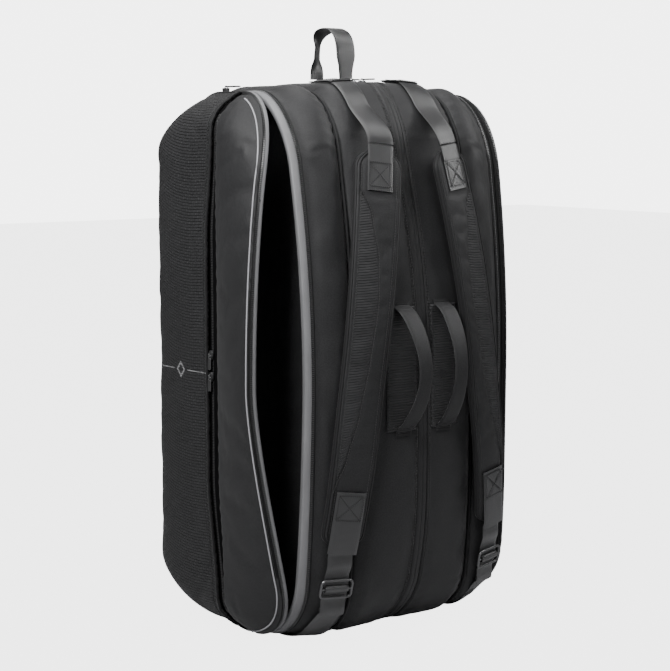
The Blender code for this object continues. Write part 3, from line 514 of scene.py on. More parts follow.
def band(name, path, across, width, material, thick=0.0016, columns=8, crown=0.0, dips=None):
    """Webbing or folded cloth along a path, closed all round, with its edges rounded."""
    path = [Vector(p) for p in path]
    across = across if isinstance(across, (list, tuple)) else [across] * len(path)
    turns = 2 * columns
    rows = []
    for i, point in enumerate(path):
        tangent = path[min(i + 1, len(path) - 1)] - path[max(i - 1, 0)]
        side = Vector(across[i])
        side = (side - tangent * (side.dot(tangent) / tangent.length_squared)).normalized()
        normal = tangent.cross(side).normalized()
        half = (width[i] if hasattr(width, "__len__") else width) / 2
        row = []
        for k in range(turns + 1):
            t = k / columns
            lane, face = (mix(-1, 1, t), 1) if t <= 1 else (mix(1, -1, t - 1), -1)
            edge = (1 - abs(lane) ** 6) ** 0.5
            rise = face * (thick / 2) * max(edge, 0.12) + (crown * (1 - lane * lane) if face > 0 else 0)
            if dips is not None and face > 0:
                rise -= dips(lane, i / (len(path) - 1))
            row.append(point + side * (lane * half) + normal * rise)
        rows.append(row)
    points = np.array([[list(p) for p in row] for row in rows])
    obj = grid_object(name, points, material)
    close_ends(obj)
    obj.data.set_sharp_from_angle(angle=math.radians(70))
    return obj


def joined(name, objects):
    """Several meshes as one object, keeping their materials."""
    bm_all = bmesh.new()
    mesh = bpy.data.meshes.new(name)
    materials = []
    for obj in objects:
        part = obj.data.copy()
        slots = []
        for material in part.materials:
            if material not in materials:
                materials.append(material)
            slots.append(materials.index(material))
        first = len(bm_all.faces)
        bm_all.from_mesh(part)
        bm_all.faces.ensure_lookup_table()
        for face in bm_all.faces[first:]:
            face.material_index = slots[face.material_index]
        bpy.data.meshes.remove(part)
        bpy.data.objects.remove(obj)
    bm_all.to_mesh(mesh)
    bm_all.free()
    for material in materials:
        mesh.materials.append(material)
    return link(bpy.data.objects.new(name, mesh))


def keep(obj, body, slot, *nodes):
    """Says which body a finished piece rides on and hides the CAD nodes that it stands for; slot, its finish,
    is not used.
    """
    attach(obj, body)
    if nodes:
        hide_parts(*nodes)
    return obj


# ---------------------------------------------------------------- the bag's form
FINER = 4
STEPS = tuple(FINER * n for n in (9, 8, 3, 9, 6, 7, 4, 7))
TOP_START, TOP_END = sum(STEPS[:2]), sum(STEPS[:3])
BOTTOM_START, ARC_START, LOOP_POINTS = sum(STEPS[:6]), sum(STEPS[:7]), sum(STEPS)


def arc(centre, radius, start, end, steps):
    turns = [math.radians(mix(start, end, i / steps)) for i in range(steps)]
    return [(centre[0] + radius * math.cos(t), centre[1] + radius * math.sin(t)) for t in turns]


def straight(start, end, steps):
    return [(mix(start[0], end[0], i / steps), mix(start[1], end[1], i / steps)) for i in range(steps)]


def profile(depth, top, bottom, radii):
    """The closed outline of a pod seen from the side, as (s, z): s runs from the front to the rear."""
    ft, rt, rb, fb = radii
    return (
        straight((0, bottom + fb), (0, top - ft), STEPS[0])
        + arc((ft, top - ft), ft, 180, 90, STEPS[1])
        + straight((ft, top), (depth - rt, top), STEPS[2])
        + arc((depth - rt, top - rt), rt, 90, 0, STEPS[3])
        + straight((depth, top - rt), (depth, bottom + rb), STEPS[4])
        + arc((depth - rb, bottom + rb), rb, 0, -90, STEPS[5])
        + straight((depth - rb, bottom), (fb, bottom), STEPS[6])
        + arc((fb, bottom + fb), fb, 270, 180, STEPS[7])
    )


def lean(s, z, depth, share):
    """How far the stuffed bag's front curves back at a height, fading out towards the rear."""
    rise = max(z - LEAN_FROM, 0)
    reach = 0.26
    curve = LEAN * (rise * rise if rise < reach else reach * (2 * rise - reach))
    low = LEAN_LOW * max(LEAN_BELOW - z, 0) ** 2
    return (share * curve + share**2 * low) * max(1 - s / (LEAN_DEPTH * depth), 0)


def station(front, rear, top, bottom, radii, share):
    """A pod's outline standing in the vertical plane through two plan points."""
    depth = (rear - front).length
    along = (rear - front) / depth
    points = [(s + lean(s, z, depth, share), z) for s, z in profile(depth, top, bottom, radii)]
    return [Vector((front.x + along.x * s, front.y + along.y * s, z)) for s, z in points]


def middle_section(x):
    crown = (x / VALLEY_X) ** 2
    dip = smooth((abs(x) - 0.085) / 0.022)
    front = FRONT_Y + 0.012 * crown + 0.008 * dip
    rear = REAR_Y - 0.004 * crown - 0.004 * dip
    top = HEIGHT - 0.008 * crown - 0.008 * dip
    bottom = 0.0015 + 0.004 * crown + 0.004 * dip
    radii = (FRONT_TOP_RADIUS, rear - TOP_SEAM_Y, rear - BASE_REAR_Y, BASE_FRONT_Y - front)
    return front, rear, top, bottom, radii


def middle_station(x):
    front, rear, top, bottom, radii = middle_section(x)
    share = mix(1, LEAN_VALLEY, (x / VALLEY_X) ** 2)
    return station(Vector((x, front)), Vector((x, rear)), top, bottom, radii, share)


def lens(z):
    """How far the half-open zip gapes at a height, from 0 at its ends to 1."""
    if z >= LENS_MID:
        r = min((z - LENS_MID) / (LENS_TOP - LENS_MID), 1)
        return (1 - r * r) ** 0.9
    r = min((LENS_MID - z) / (LENS_MID - LENS_BOTTOM), 1)
    return (1 - r**1.4) ** 1.1


def pod_shift(point):
    return LENS_POD * (lens(point.z) * smooth((0.02 - point.y) / 0.14))


def pod_station(v, side):
    """Outline of a side pod, from its seam with the middle pod at v = 0 to the rim plane at v = 1."""
    swell = math.sin(math.pi * min(v / 0.7, 1))
    front0, rear0, top0, bottom0, radii0 = middle_section(VALLEY_X)
    start = VALLEY_X + 0.0016
    front = Vector((mix(start, RIM_FRONT.x, v), mix(front0, RIM_FRONT.y, v**1.8) - 0.004 * swell))
    rear = Vector((mix(start, RIM_REAR.x, v), mix(rear0, RIM_REAR.y, v * v) + 0.004 * swell))
    top = mix(top0, RIM_TOP, v**2.2) + 0.007 * swell
    bottom = mix(bottom0, RIM_BOTTOM, v * v) - 0.002 * swell
    radii = tuple(mix(a, b, v) for a, b in zip(radii0, RIM_RADII))
    points = station(front, rear, top, bottom, radii, mix(LEAN_VALLEY, LEAN_RIM, v))
    if side < 0:
        points = [mirrored(p, -1) for p in points]
        points = [p + pod_shift(p) * (v * v) for p in points]
    return points


def rim_frame(side):
    front = Vector((side * RIM_FRONT.x, RIM_FRONT.y, 0))
    rear = Vector((side * RIM_REAR.x, RIM_REAR.y, 0))
    along = (rear - front).normalized()
    return front, along, Vector((along.y, -along.x, 0)) * side


def rim_heights(s, inset=0.001):
    ft, rt, rb, fb = (r - inset for r in RIM_RADII)
    near, far = s - inset, RIM_DEPTH - inset - s

    def rise(front_radius, rear_radius):
        if near < front_radius:
            return front_radius - math.sqrt(max(front_radius**2 - (front_radius - near) ** 2, 0))
        if far < rear_radius:
            return rear_radius - math.sqrt(max(rear_radius**2 - (rear_radius - far) ** 2, 0))
        return 0.0

    return RIM_BOTTOM + inset + rise(fb, rb), RIM_TOP - inset - rise(ft, rt)


def lid_height(side, s, z):
    """How far the lid's shell stands outside its base plane."""
    inset = 0.001
    low, high = rim_heights(s, inset)
    from_front = (1 - (1 - min((s - inset) / 0.21, 1)) ** 2.8) * (0.96 + 0.16 * smooth((s - 0.15) / 0.10))
    from_rear = math.sqrt(max(1 - (1 - min((RIM_DEPTH - inset - s) / 0.036, 1)) ** 2, 0))
    edge = max(min(z - low, high - z), 0)
    from_ends = 1 - (1 - min(edge / 0.060, 1)) ** 2.5
    return LID_BULGE[side] * from_front * from_rear * from_ends


def rim_point(side, s, z, out, lid=True):
    """A point near the rim: s back from its front edge, out from its plane, on the lid or the pod."""
    front, along, outward = rim_frame(side)
    point = front + along * (s + lean(s, z, RIM_DEPTH, LEAN_RIM)) + outward * out
    point.z = z
    if side < 0 and lid:
        point += LENS_LID * (lens(z) * max(0.0, 1 - s / (SEAM_S - SEAM_HALF)) ** 1.2)
    elif side < 0:
        point += pod_shift(point)
    return point


def rim_outline(inset):
    radii = tuple(r - inset for r in RIM_RADII)
    points = profile(RIM_DEPTH - 2 * inset, RIM_TOP - inset, RIM_BOTTOM + inset, radii)
    return [(s + inset, z) for s, z in points]


def seam_shift(z):
    """The pocket's seam curves towards the opening near the top and the bottom of the lid."""
    return -0.015 * smooth((z - 0.560) / 0.150) - 0.020 * smooth((0.235 - z) / 0.180)


def slit_gape(z):
    """How wide the pocket's slit stands open at a height, from 0 to 1."""
    return smooth((0.680 - z) / 0.14) * smooth((z - 0.070) / 0.10)


def lid_surface(side, s, z, lift=0.0):
    return rim_point(side, s, z, LID_BASE + lid_height(side, s, z) + lift)


CENTRE = (0.0, 0.0, HEIGHT / 2)


# ---------------------------------------------------------------- cloth
SOFT_PIECES = []
CLOTH_FRAMES = 20
CLOTH_SETTINGS = {
    "quality": 4, "mass": 0.25, "tension_stiffness": 12, "compression_stiffness": 12,
    "bending_stiffness": 0.6,
    "use_pressure": True, "uniform_pressure_force": 4.0, "shrink_min": -0.012, "vertex_group_mass": "sewn",
}


def soften(obj, weights, most):
    """Lists a panel for the cloth run. Weight 1 is sewn down, and most is how far the cloth may move."""
    SOFT_PIECES.append((obj, np.clip(np.asarray(weights, float).reshape(-1), 0, 1), most))


def along_ends(points):
    """Distance from both ends of a grid's rows, along the rows."""
    near = row_lengths(points)
    return np.minimum(near, near[:, -1:] - near)


def border_weights(*distances):
    """1 at a sewn border, and free from 20 mm inside it."""
    near = np.minimum.reduce([np.broadcast_to(d, distances[0].shape) for d in distances])
    return 1 - smooth_array((near - 0.007) / 0.013)


def harness_weights(points, border):
    """The harness cloth is also held down under the handle patches, the top webbing and the grab loop."""
    x, z = np.abs(points[..., 0]), points[..., 2]
    patch = smooth_array((0.074 - x) / 0.008) * smooth_array((z - HANDLE_LOW + 0.016) / 0.008)
    patch = patch * smooth_array((HANDLE_HIGH + 0.016 - z) / 0.008)
    top = smooth_array((z - 0.700) / 0.020)
    return np.maximum.reduce([border_weights(border, along_ends(points)), patch, top])


def pod_weights(points, border):
    """A pod's cloth is also held down where the strap's anchor is sewn in, near the bottom in front."""
    y, z = points[..., 1], points[..., 2]
    anchor = smooth_array((0.085 - z) / 0.02) * smooth_array((0.02 - y) / 0.02)
    return np.maximum(border_weights(border), anchor)


def settle_cloth():
    """Lets the stuffed panels bulge and gather between their seams, then fixes the result in their meshes."""
    if not SOFT_PIECES:
        return
    scene = bpy.context.scene
    walls = {}
    for obj, weights, _ in SOFT_PIECES:
        walls[obj.name] = [m for m in obj.modifiers if m.show_viewport]
        for modifier in walls[obj.name]:
            modifier.show_viewport = False
        group = obj.vertex_groups.new(name="sewn")
        for index, weight in enumerate(weights):
            group.add([index], float(weight), "REPLACE")
        cloth = obj.modifiers.new("settle", "CLOTH")
        for setting, value in CLOTH_SETTINGS.items():
            setattr(cloth.settings, setting, value)
        cloth.settings.effector_weights.gravity = 0
        cloth.collision_settings.use_collision = False
        cloth.point_cache.frame_start = 1
        cloth.point_cache.frame_end = CLOTH_FRAMES
    for number in range(1, CLOTH_FRAMES + 1):
        scene.frame_set(number)
    depsgraph = bpy.context.evaluated_depsgraph_get()
    settled = {}
    for obj, _, _ in SOFT_PIECES:
        result = obj.evaluated_get(depsgraph).data
        moved = np.zeros(len(result.vertices) * 3)
        result.vertices.foreach_get("co", moved)
        settled[obj.name] = moved.reshape(-1, 3)
    for obj, weights, most in SOFT_PIECES:
        rest = np.zeros(len(obj.data.vertices) * 3)
        obj.data.vertices.foreach_get("co", rest)
        rest = rest.reshape(-1, 3)
        step = settled[obj.name] - rest
        length = np.linalg.norm(step, axis=1, keepdims=True)
        step = step * (most / (most + length)) * (1 - weights[:, None] ** 2)
        obj.modifiers.remove(obj.modifiers["settle"])
        obj.vertex_groups.clear()
        obj.data.vertices.foreach_set("co", (rest + step).reshape(-1))
        obj.data.update()
        for modifier in walls[obj.name]:
            modifier.show_viewport = True
    scene.frame_set(1)


# ---------------------------------------------------------------- middle pod
def eased(first, last, count, ends=0.5):
    """Values from first to last, closer together near both ends."""
    share = [mix(i / count, 0.5 - 0.5 * math.cos(math.pi * i / count), ends) for i in range(count + 1)]
    return [mix(first, last, t) for t in share]


def seam_pucker(distance, run, amount, seed):
    """The small gathers that a sewn seam pulls into the cloth beside it."""
    waves = np.sin(run * 2 * math.pi / 0.0170 + seed) + 0.6 * np.sin(run * 2 * math.pi / 0.0271 + seed * 2.3)
    return amount * np.exp(-distance / 0.011) * waves


def middle_grid(widths, run):
    """A grid over the middle pod: a row for each X in widths, along a run of the outline's points."""
    stations = [middle_station(x) for x in widths]
    return np.array([[list(outline[k]) for k in run] for outline in stations])


def build_middle_pod():
    front_run = range(ARC_START - LOOP_POINTS, TOP_END + 1)
    for word, side in SIDES:
        widths = eased(0.0086, VALLEY_X - 0.0014, 22)
        points = middle_grid([side * x for x in widths], front_run)
        normals = outward_normals(points, CENTRE)
        to_hem, to_seam = column_distances(points)
        lift = wander(points, 7.0, 0.0022, seed=3.1 * side) + wander(points, 24.0, 0.0007, seed=9.0)
        share = np.clip(np.minimum(to_hem, to_seam) / 0.02, 0, 1)
        lift = lift * share + 0.0012 * share
        run = row_lengths(points)
        lift += seam_pucker(to_seam, run, 0.00075, 1.0 + side)
        lift += seam_pucker(to_hem, run, 0.00025, 4.0)
        lift -= 0.0014 * np.exp(-to_hem / 0.0012)
        lift -= 0.0030 * np.exp(-to_seam / 0.0035)
        points = points + normals * lift[..., None]
        panel = grid_object("harness_cloth_" + word, points, MAT["cloth"], wall=PANEL_WALL,
                            inner=MAT["lining"], outward=normals)
        soften(panel, harness_weights(points, np.minimum(to_hem, to_seam)), 0.0024)
        keep(panel, "bag", "smooth_fabric", "harness_panel_" + word)
        build_hem_stitches(word, side, front_run)

    rear_run = range(TOP_END, BOTTOM_START + 1)
    widths = eased(-VALLEY_X + 0.0014, VALLEY_X - 0.0014, 40)
    points = middle_grid(widths, rear_run)
    normals = outward_normals(points, CENTRE)
    edge = np.minimum(np.abs(points[..., 0] + VALLEY_X), np.abs(VALLEY_X - points[..., 0]))
    lift = wander(points, 6.0, 0.0024, seed=5.0) * np.clip(edge / 0.02, 0, 1)
    run = points[..., 2] + points[..., 1]
    lift += seam_pucker(edge, run, 0.0007, 2.0) - 0.0028 * np.exp(-edge / 0.0035)
    points = points + normals * lift[..., None]
    panel = grid_object("rear_cloth", points, MAT["ribbed"], wall=PANEL_WALL, inner=MAT["lining"],
                        outward=normals,
                        uv_turn=True)
    soften(panel, border_weights(edge, along_ends(points)), 0.0030)
    keep(panel, "bag", "ribbed_fabric", "rear_panel")


def build_hem_stitches(word, side, run):
    """The two rows that hold the panel's folded hem beside the middle zip."""
    lanes = []
    for x in (0.0112, 0.0140):
        loop = middle_station(side * x)
        before, after = middle_station(side * (x - 0.002)), middle_station(side * (x + 0.002))
        lane = []
        for k in list(run)[2:-2]:
            tangent = loop[(k + 1) % LOOP_POINTS] - loop[k - 1]
            normal = tangent.cross(after[k] - before[k]).normalized()
            if normal.dot(loop[k] - Vector(CENTRE)) < 0:
                normal = -normal
            lane.append(loop[k] + normal * 0.0004)
        lanes.append(lane)
    for name, lane in zip(("hem_stitches_", "hem_stitches_outer_"), lanes):
        keep(stitches(name + word, [lane], MAT["thread"]), "bag", "smooth_fabric")


def build_centre_zip():
    """A reverse coil zip: two flat tapes that meet in a fine groove, with the coil hidden behind them."""
    run = range(ARC_START - LOOP_POINTS, TOP_END + 1)
    half = [0.0009, 0.0022, 0.0050, 0.0074, 0.0088, 0.0100]
    widths = [-x for x in half[::-1]] + [0.0] + half
    points = middle_grid(widths, run)
    normals = outward_normals(points, CENTRE)
    x = points[..., 0]
    sink = 0.0004 - 0.0030 * smooth_array((np.abs(x) - 0.0068) / 0.0020) - 0.0009 * np.exp(-(x / 0.0006) ** 2)
    points = points + normals * sink[..., None]
    zip_tape = grid_object("centre_zip_tapes", points, MAT["strip"], wall=0.0015, outward=normals)
    keep(zip_tape, "bag", "zip_tape", "centre_zip_chain")


# ---------------------------------------------------------------- seams between the pods
def build_valley_seams():
    """A corded seam all the way round between the middle pod and each side pod."""
    for word, side in SIDES:
        outline = [mirrored(p, side) for p in middle_station(VALLEY_X + 0.0002)]
        centre = Vector((side * VALLEY_X, 0, HEIGHT / 2))
        path = []
        for k in range(LOOP_POINTS):
            tangent = outline[(k + 1) % LOOP_POINTS] - outline[k - 1]
            out = Vector((0, -tangent.z, tangent.y)).normalized()
            if out.dot(outline[k] - centre) < 0:
                out = -out
            path.append(outline[k] + out * 0.0002)
        cord = tube("seam_cord_" + word, path, 0.0021, MAT["cloth_dark"], sides=8, closed=True)
        keep(cord, "bag", "lining", word + "_divider")
        wall_points = []
        for ring in (*np.linspace(1.0, 0.03, 14), 0.006, 0.003):
            row = []
            for p in outline:
                spot = centre.lerp(p, ring * 0.995)
                swell = 0.008 * ring * ring * (1 - ring) * side
                row.append((spot.x + swell, spot.y, spot.z))
            wall_points.append(row)
        panel = grid_object("divider_cloth_" + word, np.array(wall_points).transpose(1, 0, 2), MAT["lining"],
                            wall=0.002, wrap_rows=True)
        keep(panel, "bag", "lining")


# ---------------------------------------------------------------- side pods
POD_CLOTH_END, POD_GREY_START = 0.800, 0.850


def pod_grid(side, layers):
    return np.array([[list(p) for p in pod_station(v, side)] for v in layers]).transpose(1, 0, 2)


def pod_middle(side):
    return Vector((side * 0.06, 0, HEIGHT / 2))


def pod_normals(points, side):
    return outward_normals(points, pod_middle(side), wrap_rows=True)


def build_side_pods():
    for word, side in SIDES:
        layers = eased(-0.010, POD_CLOTH_END, 16)
        layers = [max(v, 0.0) for v in layers[1:]]
        points = pod_grid(side, layers)
        normals = pod_normals(points, side)
        width = np.array(layers) * 0.082
        to_valley = np.broadcast_to(width, points.shape[:2])
        to_rim = np.broadcast_to(width[-1] - width, points.shape[:2])
        share = np.clip(np.minimum(to_valley, to_rim) / 0.018, 0, 1)
        lift = (wander(points, 8.0, 0.0022, seed=1.7 * side) + wander(points, 26.0, 0.0008, seed=2.0)) * share
        lift += 0.0016 * share
        run = column_lengths(points)
        lift += seam_pucker(to_valley, run, 0.0008, 0.5) + seam_pucker(to_rim, run, 0.0004, 3.5)
        lift -= 0.0030 * np.exp(-to_valley / 0.0035)
        points = points + normals * lift[..., None]
        cloth = grid_object("pod_cloth_" + word, points, MAT["cloth"], wall=POD_WALL, inner=MAT["lining"],
                            wrap_rows=True, outward=normals)
        soften(cloth, pod_weights(points, np.minimum(to_valley, to_rim)), 0.0026)
        keep(cloth, "bag", "smooth_fabric", word + "_pod_shell")

        points = pod_grid(side, [POD_CLOTH_END - 0.004, 0.812, 0.824, 0.836, POD_GREY_START + 0.004])
        normals = pod_normals(points, side)
        points = points + normals * np.array([-0.0010, -0.0006, -0.0005, -0.0006, -0.0009])[None, :, None]
        tape = grid_object("pod_zip_tape_" + word, points, MAT["tape"], wall=0.0012, wrap_rows=True,
                           outward=normals)
        keep(tape, "bag", "zip_tape")
        build_pod_binding(word, side)


def build_pod_binding(word, side):
    """The light binding folded inwards over the rim, with the zip's coil and stitches beside it."""
    points = pod_grid(side, [POD_GREY_START, 0.862, 0.885, 0.91, 0.94, 0.965, 0.982, 0.992])
    normals = pod_normals(points, side)
    rise = np.array([-0.0004, 0.0002, 0.0006, 0.0008, 0.0008, 0.0006, 0.0003, -0.0001])
    points = points + normals * rise[None, :, None]
    layers = ((0.0012, -0.0002), (0.0028, -0.0003), (0.0050, -0.0006), (0.0075, -0.0012))
    folded = rim_rows(side, layers, lid=False)
    points = np.concatenate([points, np.array(folded).transpose(1, 0, 2)], axis=1)
    grey_band = grid_object("pod_binding_" + word, points, MAT["binding"], wall=0.0010, wrap_rows=True,
                            outward=pod_normals(points, side))
    close_zip_faces(grey_band, side)
    keep(grey_band, "bag", "binding", word + "_pod_zip_tape")

    coil = pod_station(0.838, side)
    inner, outer = pod_station(0.82, side), pod_station(0.86, side)
    across = [b - a for a, b in zip(inner, outer)]
    normals = []
    for k, point in enumerate(coil):
        normal = (coil[(k + 1) % LOOP_POINTS] - coil[k - 1]).cross(across[k]).normalized()
        normals.append(normal if normal.dot(point - pod_middle(side)) > 0 else -normal)
    path = [p + n * 0.0004 for p, n in zip(coil, normals)]
    teeth = bars("pod_zip_coil_" + word, path + path[:1], across + across[:1], normals + normals[:1],
                 0.0026, (0.0016, 0.0042, 0.0014), MAT["teeth"])
    keep(teeth, "bag", "zip_tape")
    cord_path = [p + n * 0.0002 for p, n in zip(pod_station(POD_CLOTH_END, side), normals)]
    keep(tube("pod_rim_cord_" + word, cord_path, 0.0013, MAT["cloth_dark"], sides=6, closed=True), "bag",
         "lining")
    lane = [p + n * 0.0010 for p, n in zip(pod_station(0.872, side), normals)]
    keep(stitches("pod_binding_stitches_" + word, [lane + lane[:1]], MAT["thread_grey"]), "bag", "binding")


def build_hinge_linings():
    """The fabric hinge at the rear of each lid, on the outside of the rim."""
    for word, side in SIDES:
        front, along, outward = rim_frame(side)
        low, high = RIM_BOTTOM + RIM_RADII[2] - 0.004, RIM_TOP - RIM_RADII[1] + 0.004
        rows = []
        for z in np.linspace(low, high, 90):
            row = []
            for t in np.linspace(0, 1, 15):
                bulge = 0.0022 + 0.0006 * math.sin(math.pi * t) + 0.0004 * bell(min(t, 1 - t), 0.06)
                spot = front + along * (RIM_DEPTH + bulge) + outward * mix(-0.0075, 0.0095, t)
                row.append(Vector((spot.x, spot.y, z)))
            row += [p - along * 0.0014 for p in row[::-1]]
            rows.append([list(p) for p in row + row[:1]])
        strip = grid_object("hinge_cloth_" + word, rows, MAT["hinge"])
        close_ends(strip)
        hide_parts(word + "_hinge_strip")
        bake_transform(strip)


# ---------------------------------------------------------------- lids
def lid_middle(side):
    return Vector((side * 0.10, 0, HEIGHT / 2))


def lid_grid(side, columns, rows):
    """A grid over part of a lid, with the column next to the pocket following the curve of its seam."""
    grid = []
    reach = max(abs(columns[0] - SEAM_S), abs(columns[-1] - SEAM_S))
    for s in columns:
        low, high = rim_heights(s)
        heights = [mix(low, high, mix(j / rows, 0.5 - 0.5 * math.cos(math.pi * j / rows), 0.88))
                   for j in range(rows + 1)]
        share = (1 - abs(s - SEAM_S) / reach) ** 3
        slit = SLIT_WIDTH * share if s < SEAM_S else 0.0
        grid.append([list(lid_surface(side, s + seam_shift(z) * share - slit * slit_gape(z), z))
                     for z in heights])
    return np.array(grid)


def lid_columns(first, last, count):
    first, last = max(first, 0.001), min(last, RIM_DEPTH - 0.001)
    return [mix(first, last,
                mix(i / count, 0.5 - 0.5 * math.cos(math.pi * i / count), 0.6)) for i in range(count + 1)]


def column_distances(points):
    """Distances from a grid's first and last rows, for each of its points."""
    near = column_lengths(points)
    return near, near[-1:] - near


def build_lid(word, side):
    body = word + "_lid"
    inside = lid_middle(side)
    columns = lid_columns(0, SEAM_S - SEAM_HALF - 0.0010, 30)
    points = lid_grid(side, columns, 110)
    normals = outward_normals(points, inside)
    near, far = column_distances(points)
    run = row_lengths(points)
    share = np.clip(np.minimum(near, far) / 0.02, 0, 1)
    lift = (wander(points, 6.0, 0.0026, seed=4.0 * side) + wander(points, 22.0, 0.0008, seed=7.0)) * share
    lift += 0.0010 * share + seam_pucker(near, run, 0.0006, 1.2) + seam_pucker(far, run, 0.0006, 2.2)
    lift -= 0.0012 * np.exp(-near / 0.003) + 0.0030 * np.exp(-far / 0.0030)
    points = points + normals * lift[..., None]
    gusset = grid_object("lid_gusset_" + word, points, MAT["cloth"], wall=POD_WALL, inner=MAT["lining"],
                         outward=normals)
    soften(gusset, border_weights(np.minimum(near, far), along_ends(points)), 0.0026)
    keep(gusset, body, "smooth_fabric", word + "_lid_gusset")

    columns = lid_columns(SEAM_S + SEAM_HALF - 0.0015, 1, 30)
    points = lid_grid(side, columns, 110)
    normals = outward_normals(points, inside)
    near, far = column_distances(points)
    lift = wander(points, 5.0, 0.0030, seed=6.0 * side) + wander(points, 20.0, 0.0009, seed=8.0)
    lift *= np.clip(far / 0.02, 0, 1)
    lift += 0.0022 * np.exp(-near / 0.010) - 0.0014 * np.exp(-((near - 0.0085) / 0.0012) ** 2)
    lift += seam_pucker(near, row_lengths(points), 0.0004, 0.3)
    points = points + normals * lift[..., None]
    panel = grid_object("lid_side_cloth_" + word, points, MAT["ribbed_printed"], wall=POD_WALL,
                        inner=MAT["lining"],
                        outward=normals, uv_turn=True)
    soften(panel, border_weights(np.minimum(near, far), along_ends(points)), 0.0030)
    keep(panel, body, "ribbed_fabric", word + "_lid_side_panel")
    build_lid_trim(word, side, points, normals)
    build_lid_edge(word, side)
    build_pocket(word, side)


def build_lid_trim(word, side, points, normals):
    """Folded hem and stitches along the side panel's free edge over the pocket zip."""
    body = word + "_lid"
    hem = points[0] + normals[0] * -0.0008
    keep(tube("side_panel_hem_" + word, hem.tolist(), 0.0018, MAT["cloth_dark"], sides=8), body,
         "ribbed_fabric")
    near = column_distances(points)[0]
    index = int(np.argmin(np.abs(near[:, 55] - 0.0088)))
    lane = points[index] + normals[index] * 0.0006
    keep(stitches("side_panel_stitches_" + word, [lane.tolist()], MAT["thread"]), body, "ribbed_fabric")


def close_zip_faces(band_object, side):
    """Makes the binding dark where the zip is shut, since only an open zip shows its light side."""
    front, along, _ = rim_frame(side)
    mesh = band_object.data
    mesh.materials.append(MAT["tape"])
    shut = len(mesh.materials) - 1
    for face in mesh.polygons:
        s = (face.center - front).dot(along)
        z = face.center.z
        opened = side < 0 and (s < RIM_DEPTH - RIM_RADII[1] if z > 0.4 else s < RIM_RADII[3] + 0.025)
        if not opened:
            face.material_index = shut


def rim_rows(side, layers, lid=True):
    """Closed rows of points round the rim, one for each (inset, out)."""
    return [[list(rim_point(side, s, z, out, lid)) for s, z in rim_outline(inset)] for inset, out in layers]


def front_run(side, inset, lift):
    """A path on the lid's skin along the front part of its rim."""
    outline = rim_outline(inset)
    run = range(ARC_START - LOOP_POINTS, TOP_START - 5)
    return [lid_surface(side, s, z, lift) for s, z in (outline[k % LOOP_POINTS] for k in run)]


def build_lid_edge(word, side):
    """The lid's opening edge: binding folded inwards, dark zip tape with its coil, and light grey piping
    whose colour is partly the trim's own and partly a painted highlight.
    """
    body = word + "_lid"
    layers = [(0.0075, 0.0014), (0.0050, 0.0009), (0.0028, 0.0006), (0.0012, 0.0008), (0.0001, 0.0016),
              (-0.0003, 0.0026),
              (-0.0001, 0.0040), (0.0001, 0.0056), (0.0004, 0.0066), (0.0010, 0.0071)]
    grid = rim_rows(side, layers)
    points = np.array(grid).transpose(1, 0, 2)
    inside = (side * 0.17, 0.02, HEIGHT / 2)
    binding = grid_object("lid_binding_" + word, points, MAT["binding"], wall=0.0010, wrap_rows=True,
                          outward=outward_normals(points, inside, wrap_rows=True))
    close_zip_faces(binding, side)
    keep(binding, body, "binding", word + "_lid_zip_tape")
    layers = [(0.0012, 0.0062), (0.0008, 0.0076), (0.0006, 0.0090), (0.0008, 0.0102)]
    grid = rim_rows(side, layers)
    edge = [rim_point(side, s, z, 0.0104) for s, z in rim_outline(0.0010)]
    for inset in (0.0016, 0.0030, 0.0044, 0.0058):
        row = []
        for rim, (s, z) in zip(edge, rim_outline(inset)):
            skin = lid_surface(side, max(s, 0.0011), z, 0.0009)
            row.append(list(skin.lerp(rim, smooth((s - 0.085) / 0.030))))
        grid.append(row)
    points = np.array(grid).transpose(1, 0, 2)
    tape = grid_object("lid_zip_tape_" + word, points, MAT["tape"], wall=0.0012, wrap_rows=True,
                       outward=outward_normals(points, inside, wrap_rows=True))
    keep(tape, body, "zip_tape")
    path = [rim_point(side, s, z, 0.0086) for s, z in rim_outline(0.0000)]
    front, along, outward = rim_frame(side)
    centre = front + along * (RIM_DEPTH / 2) + Vector((0, 0, HEIGHT / 2))
    across = [outward] * len(path)
    normals = [(p - centre).normalized() for p in path]
    teeth = bars("lid_zip_coil_" + word, path + path[:1], across + across[:1], normals + normals[:1],
                 0.0026, (0.0015, 0.0030, 0.0014), MAT["teeth"])
    keep(teeth, body, "zip_tape")
    path = front_run(side, 0.0060, 0.0027)
    # The piping's light grey is partly a painted highlight along the lid's edge.
    keep(tube("lid_piping_" + word, path, 0.0011, MAT["piping"]), body, "binding")
    path = front_run(side, 0.0040, 0.0014)
    keep(stitches("lid_tape_stitches_" + word, [path], MAT["thread"]), body, "zip_tape")


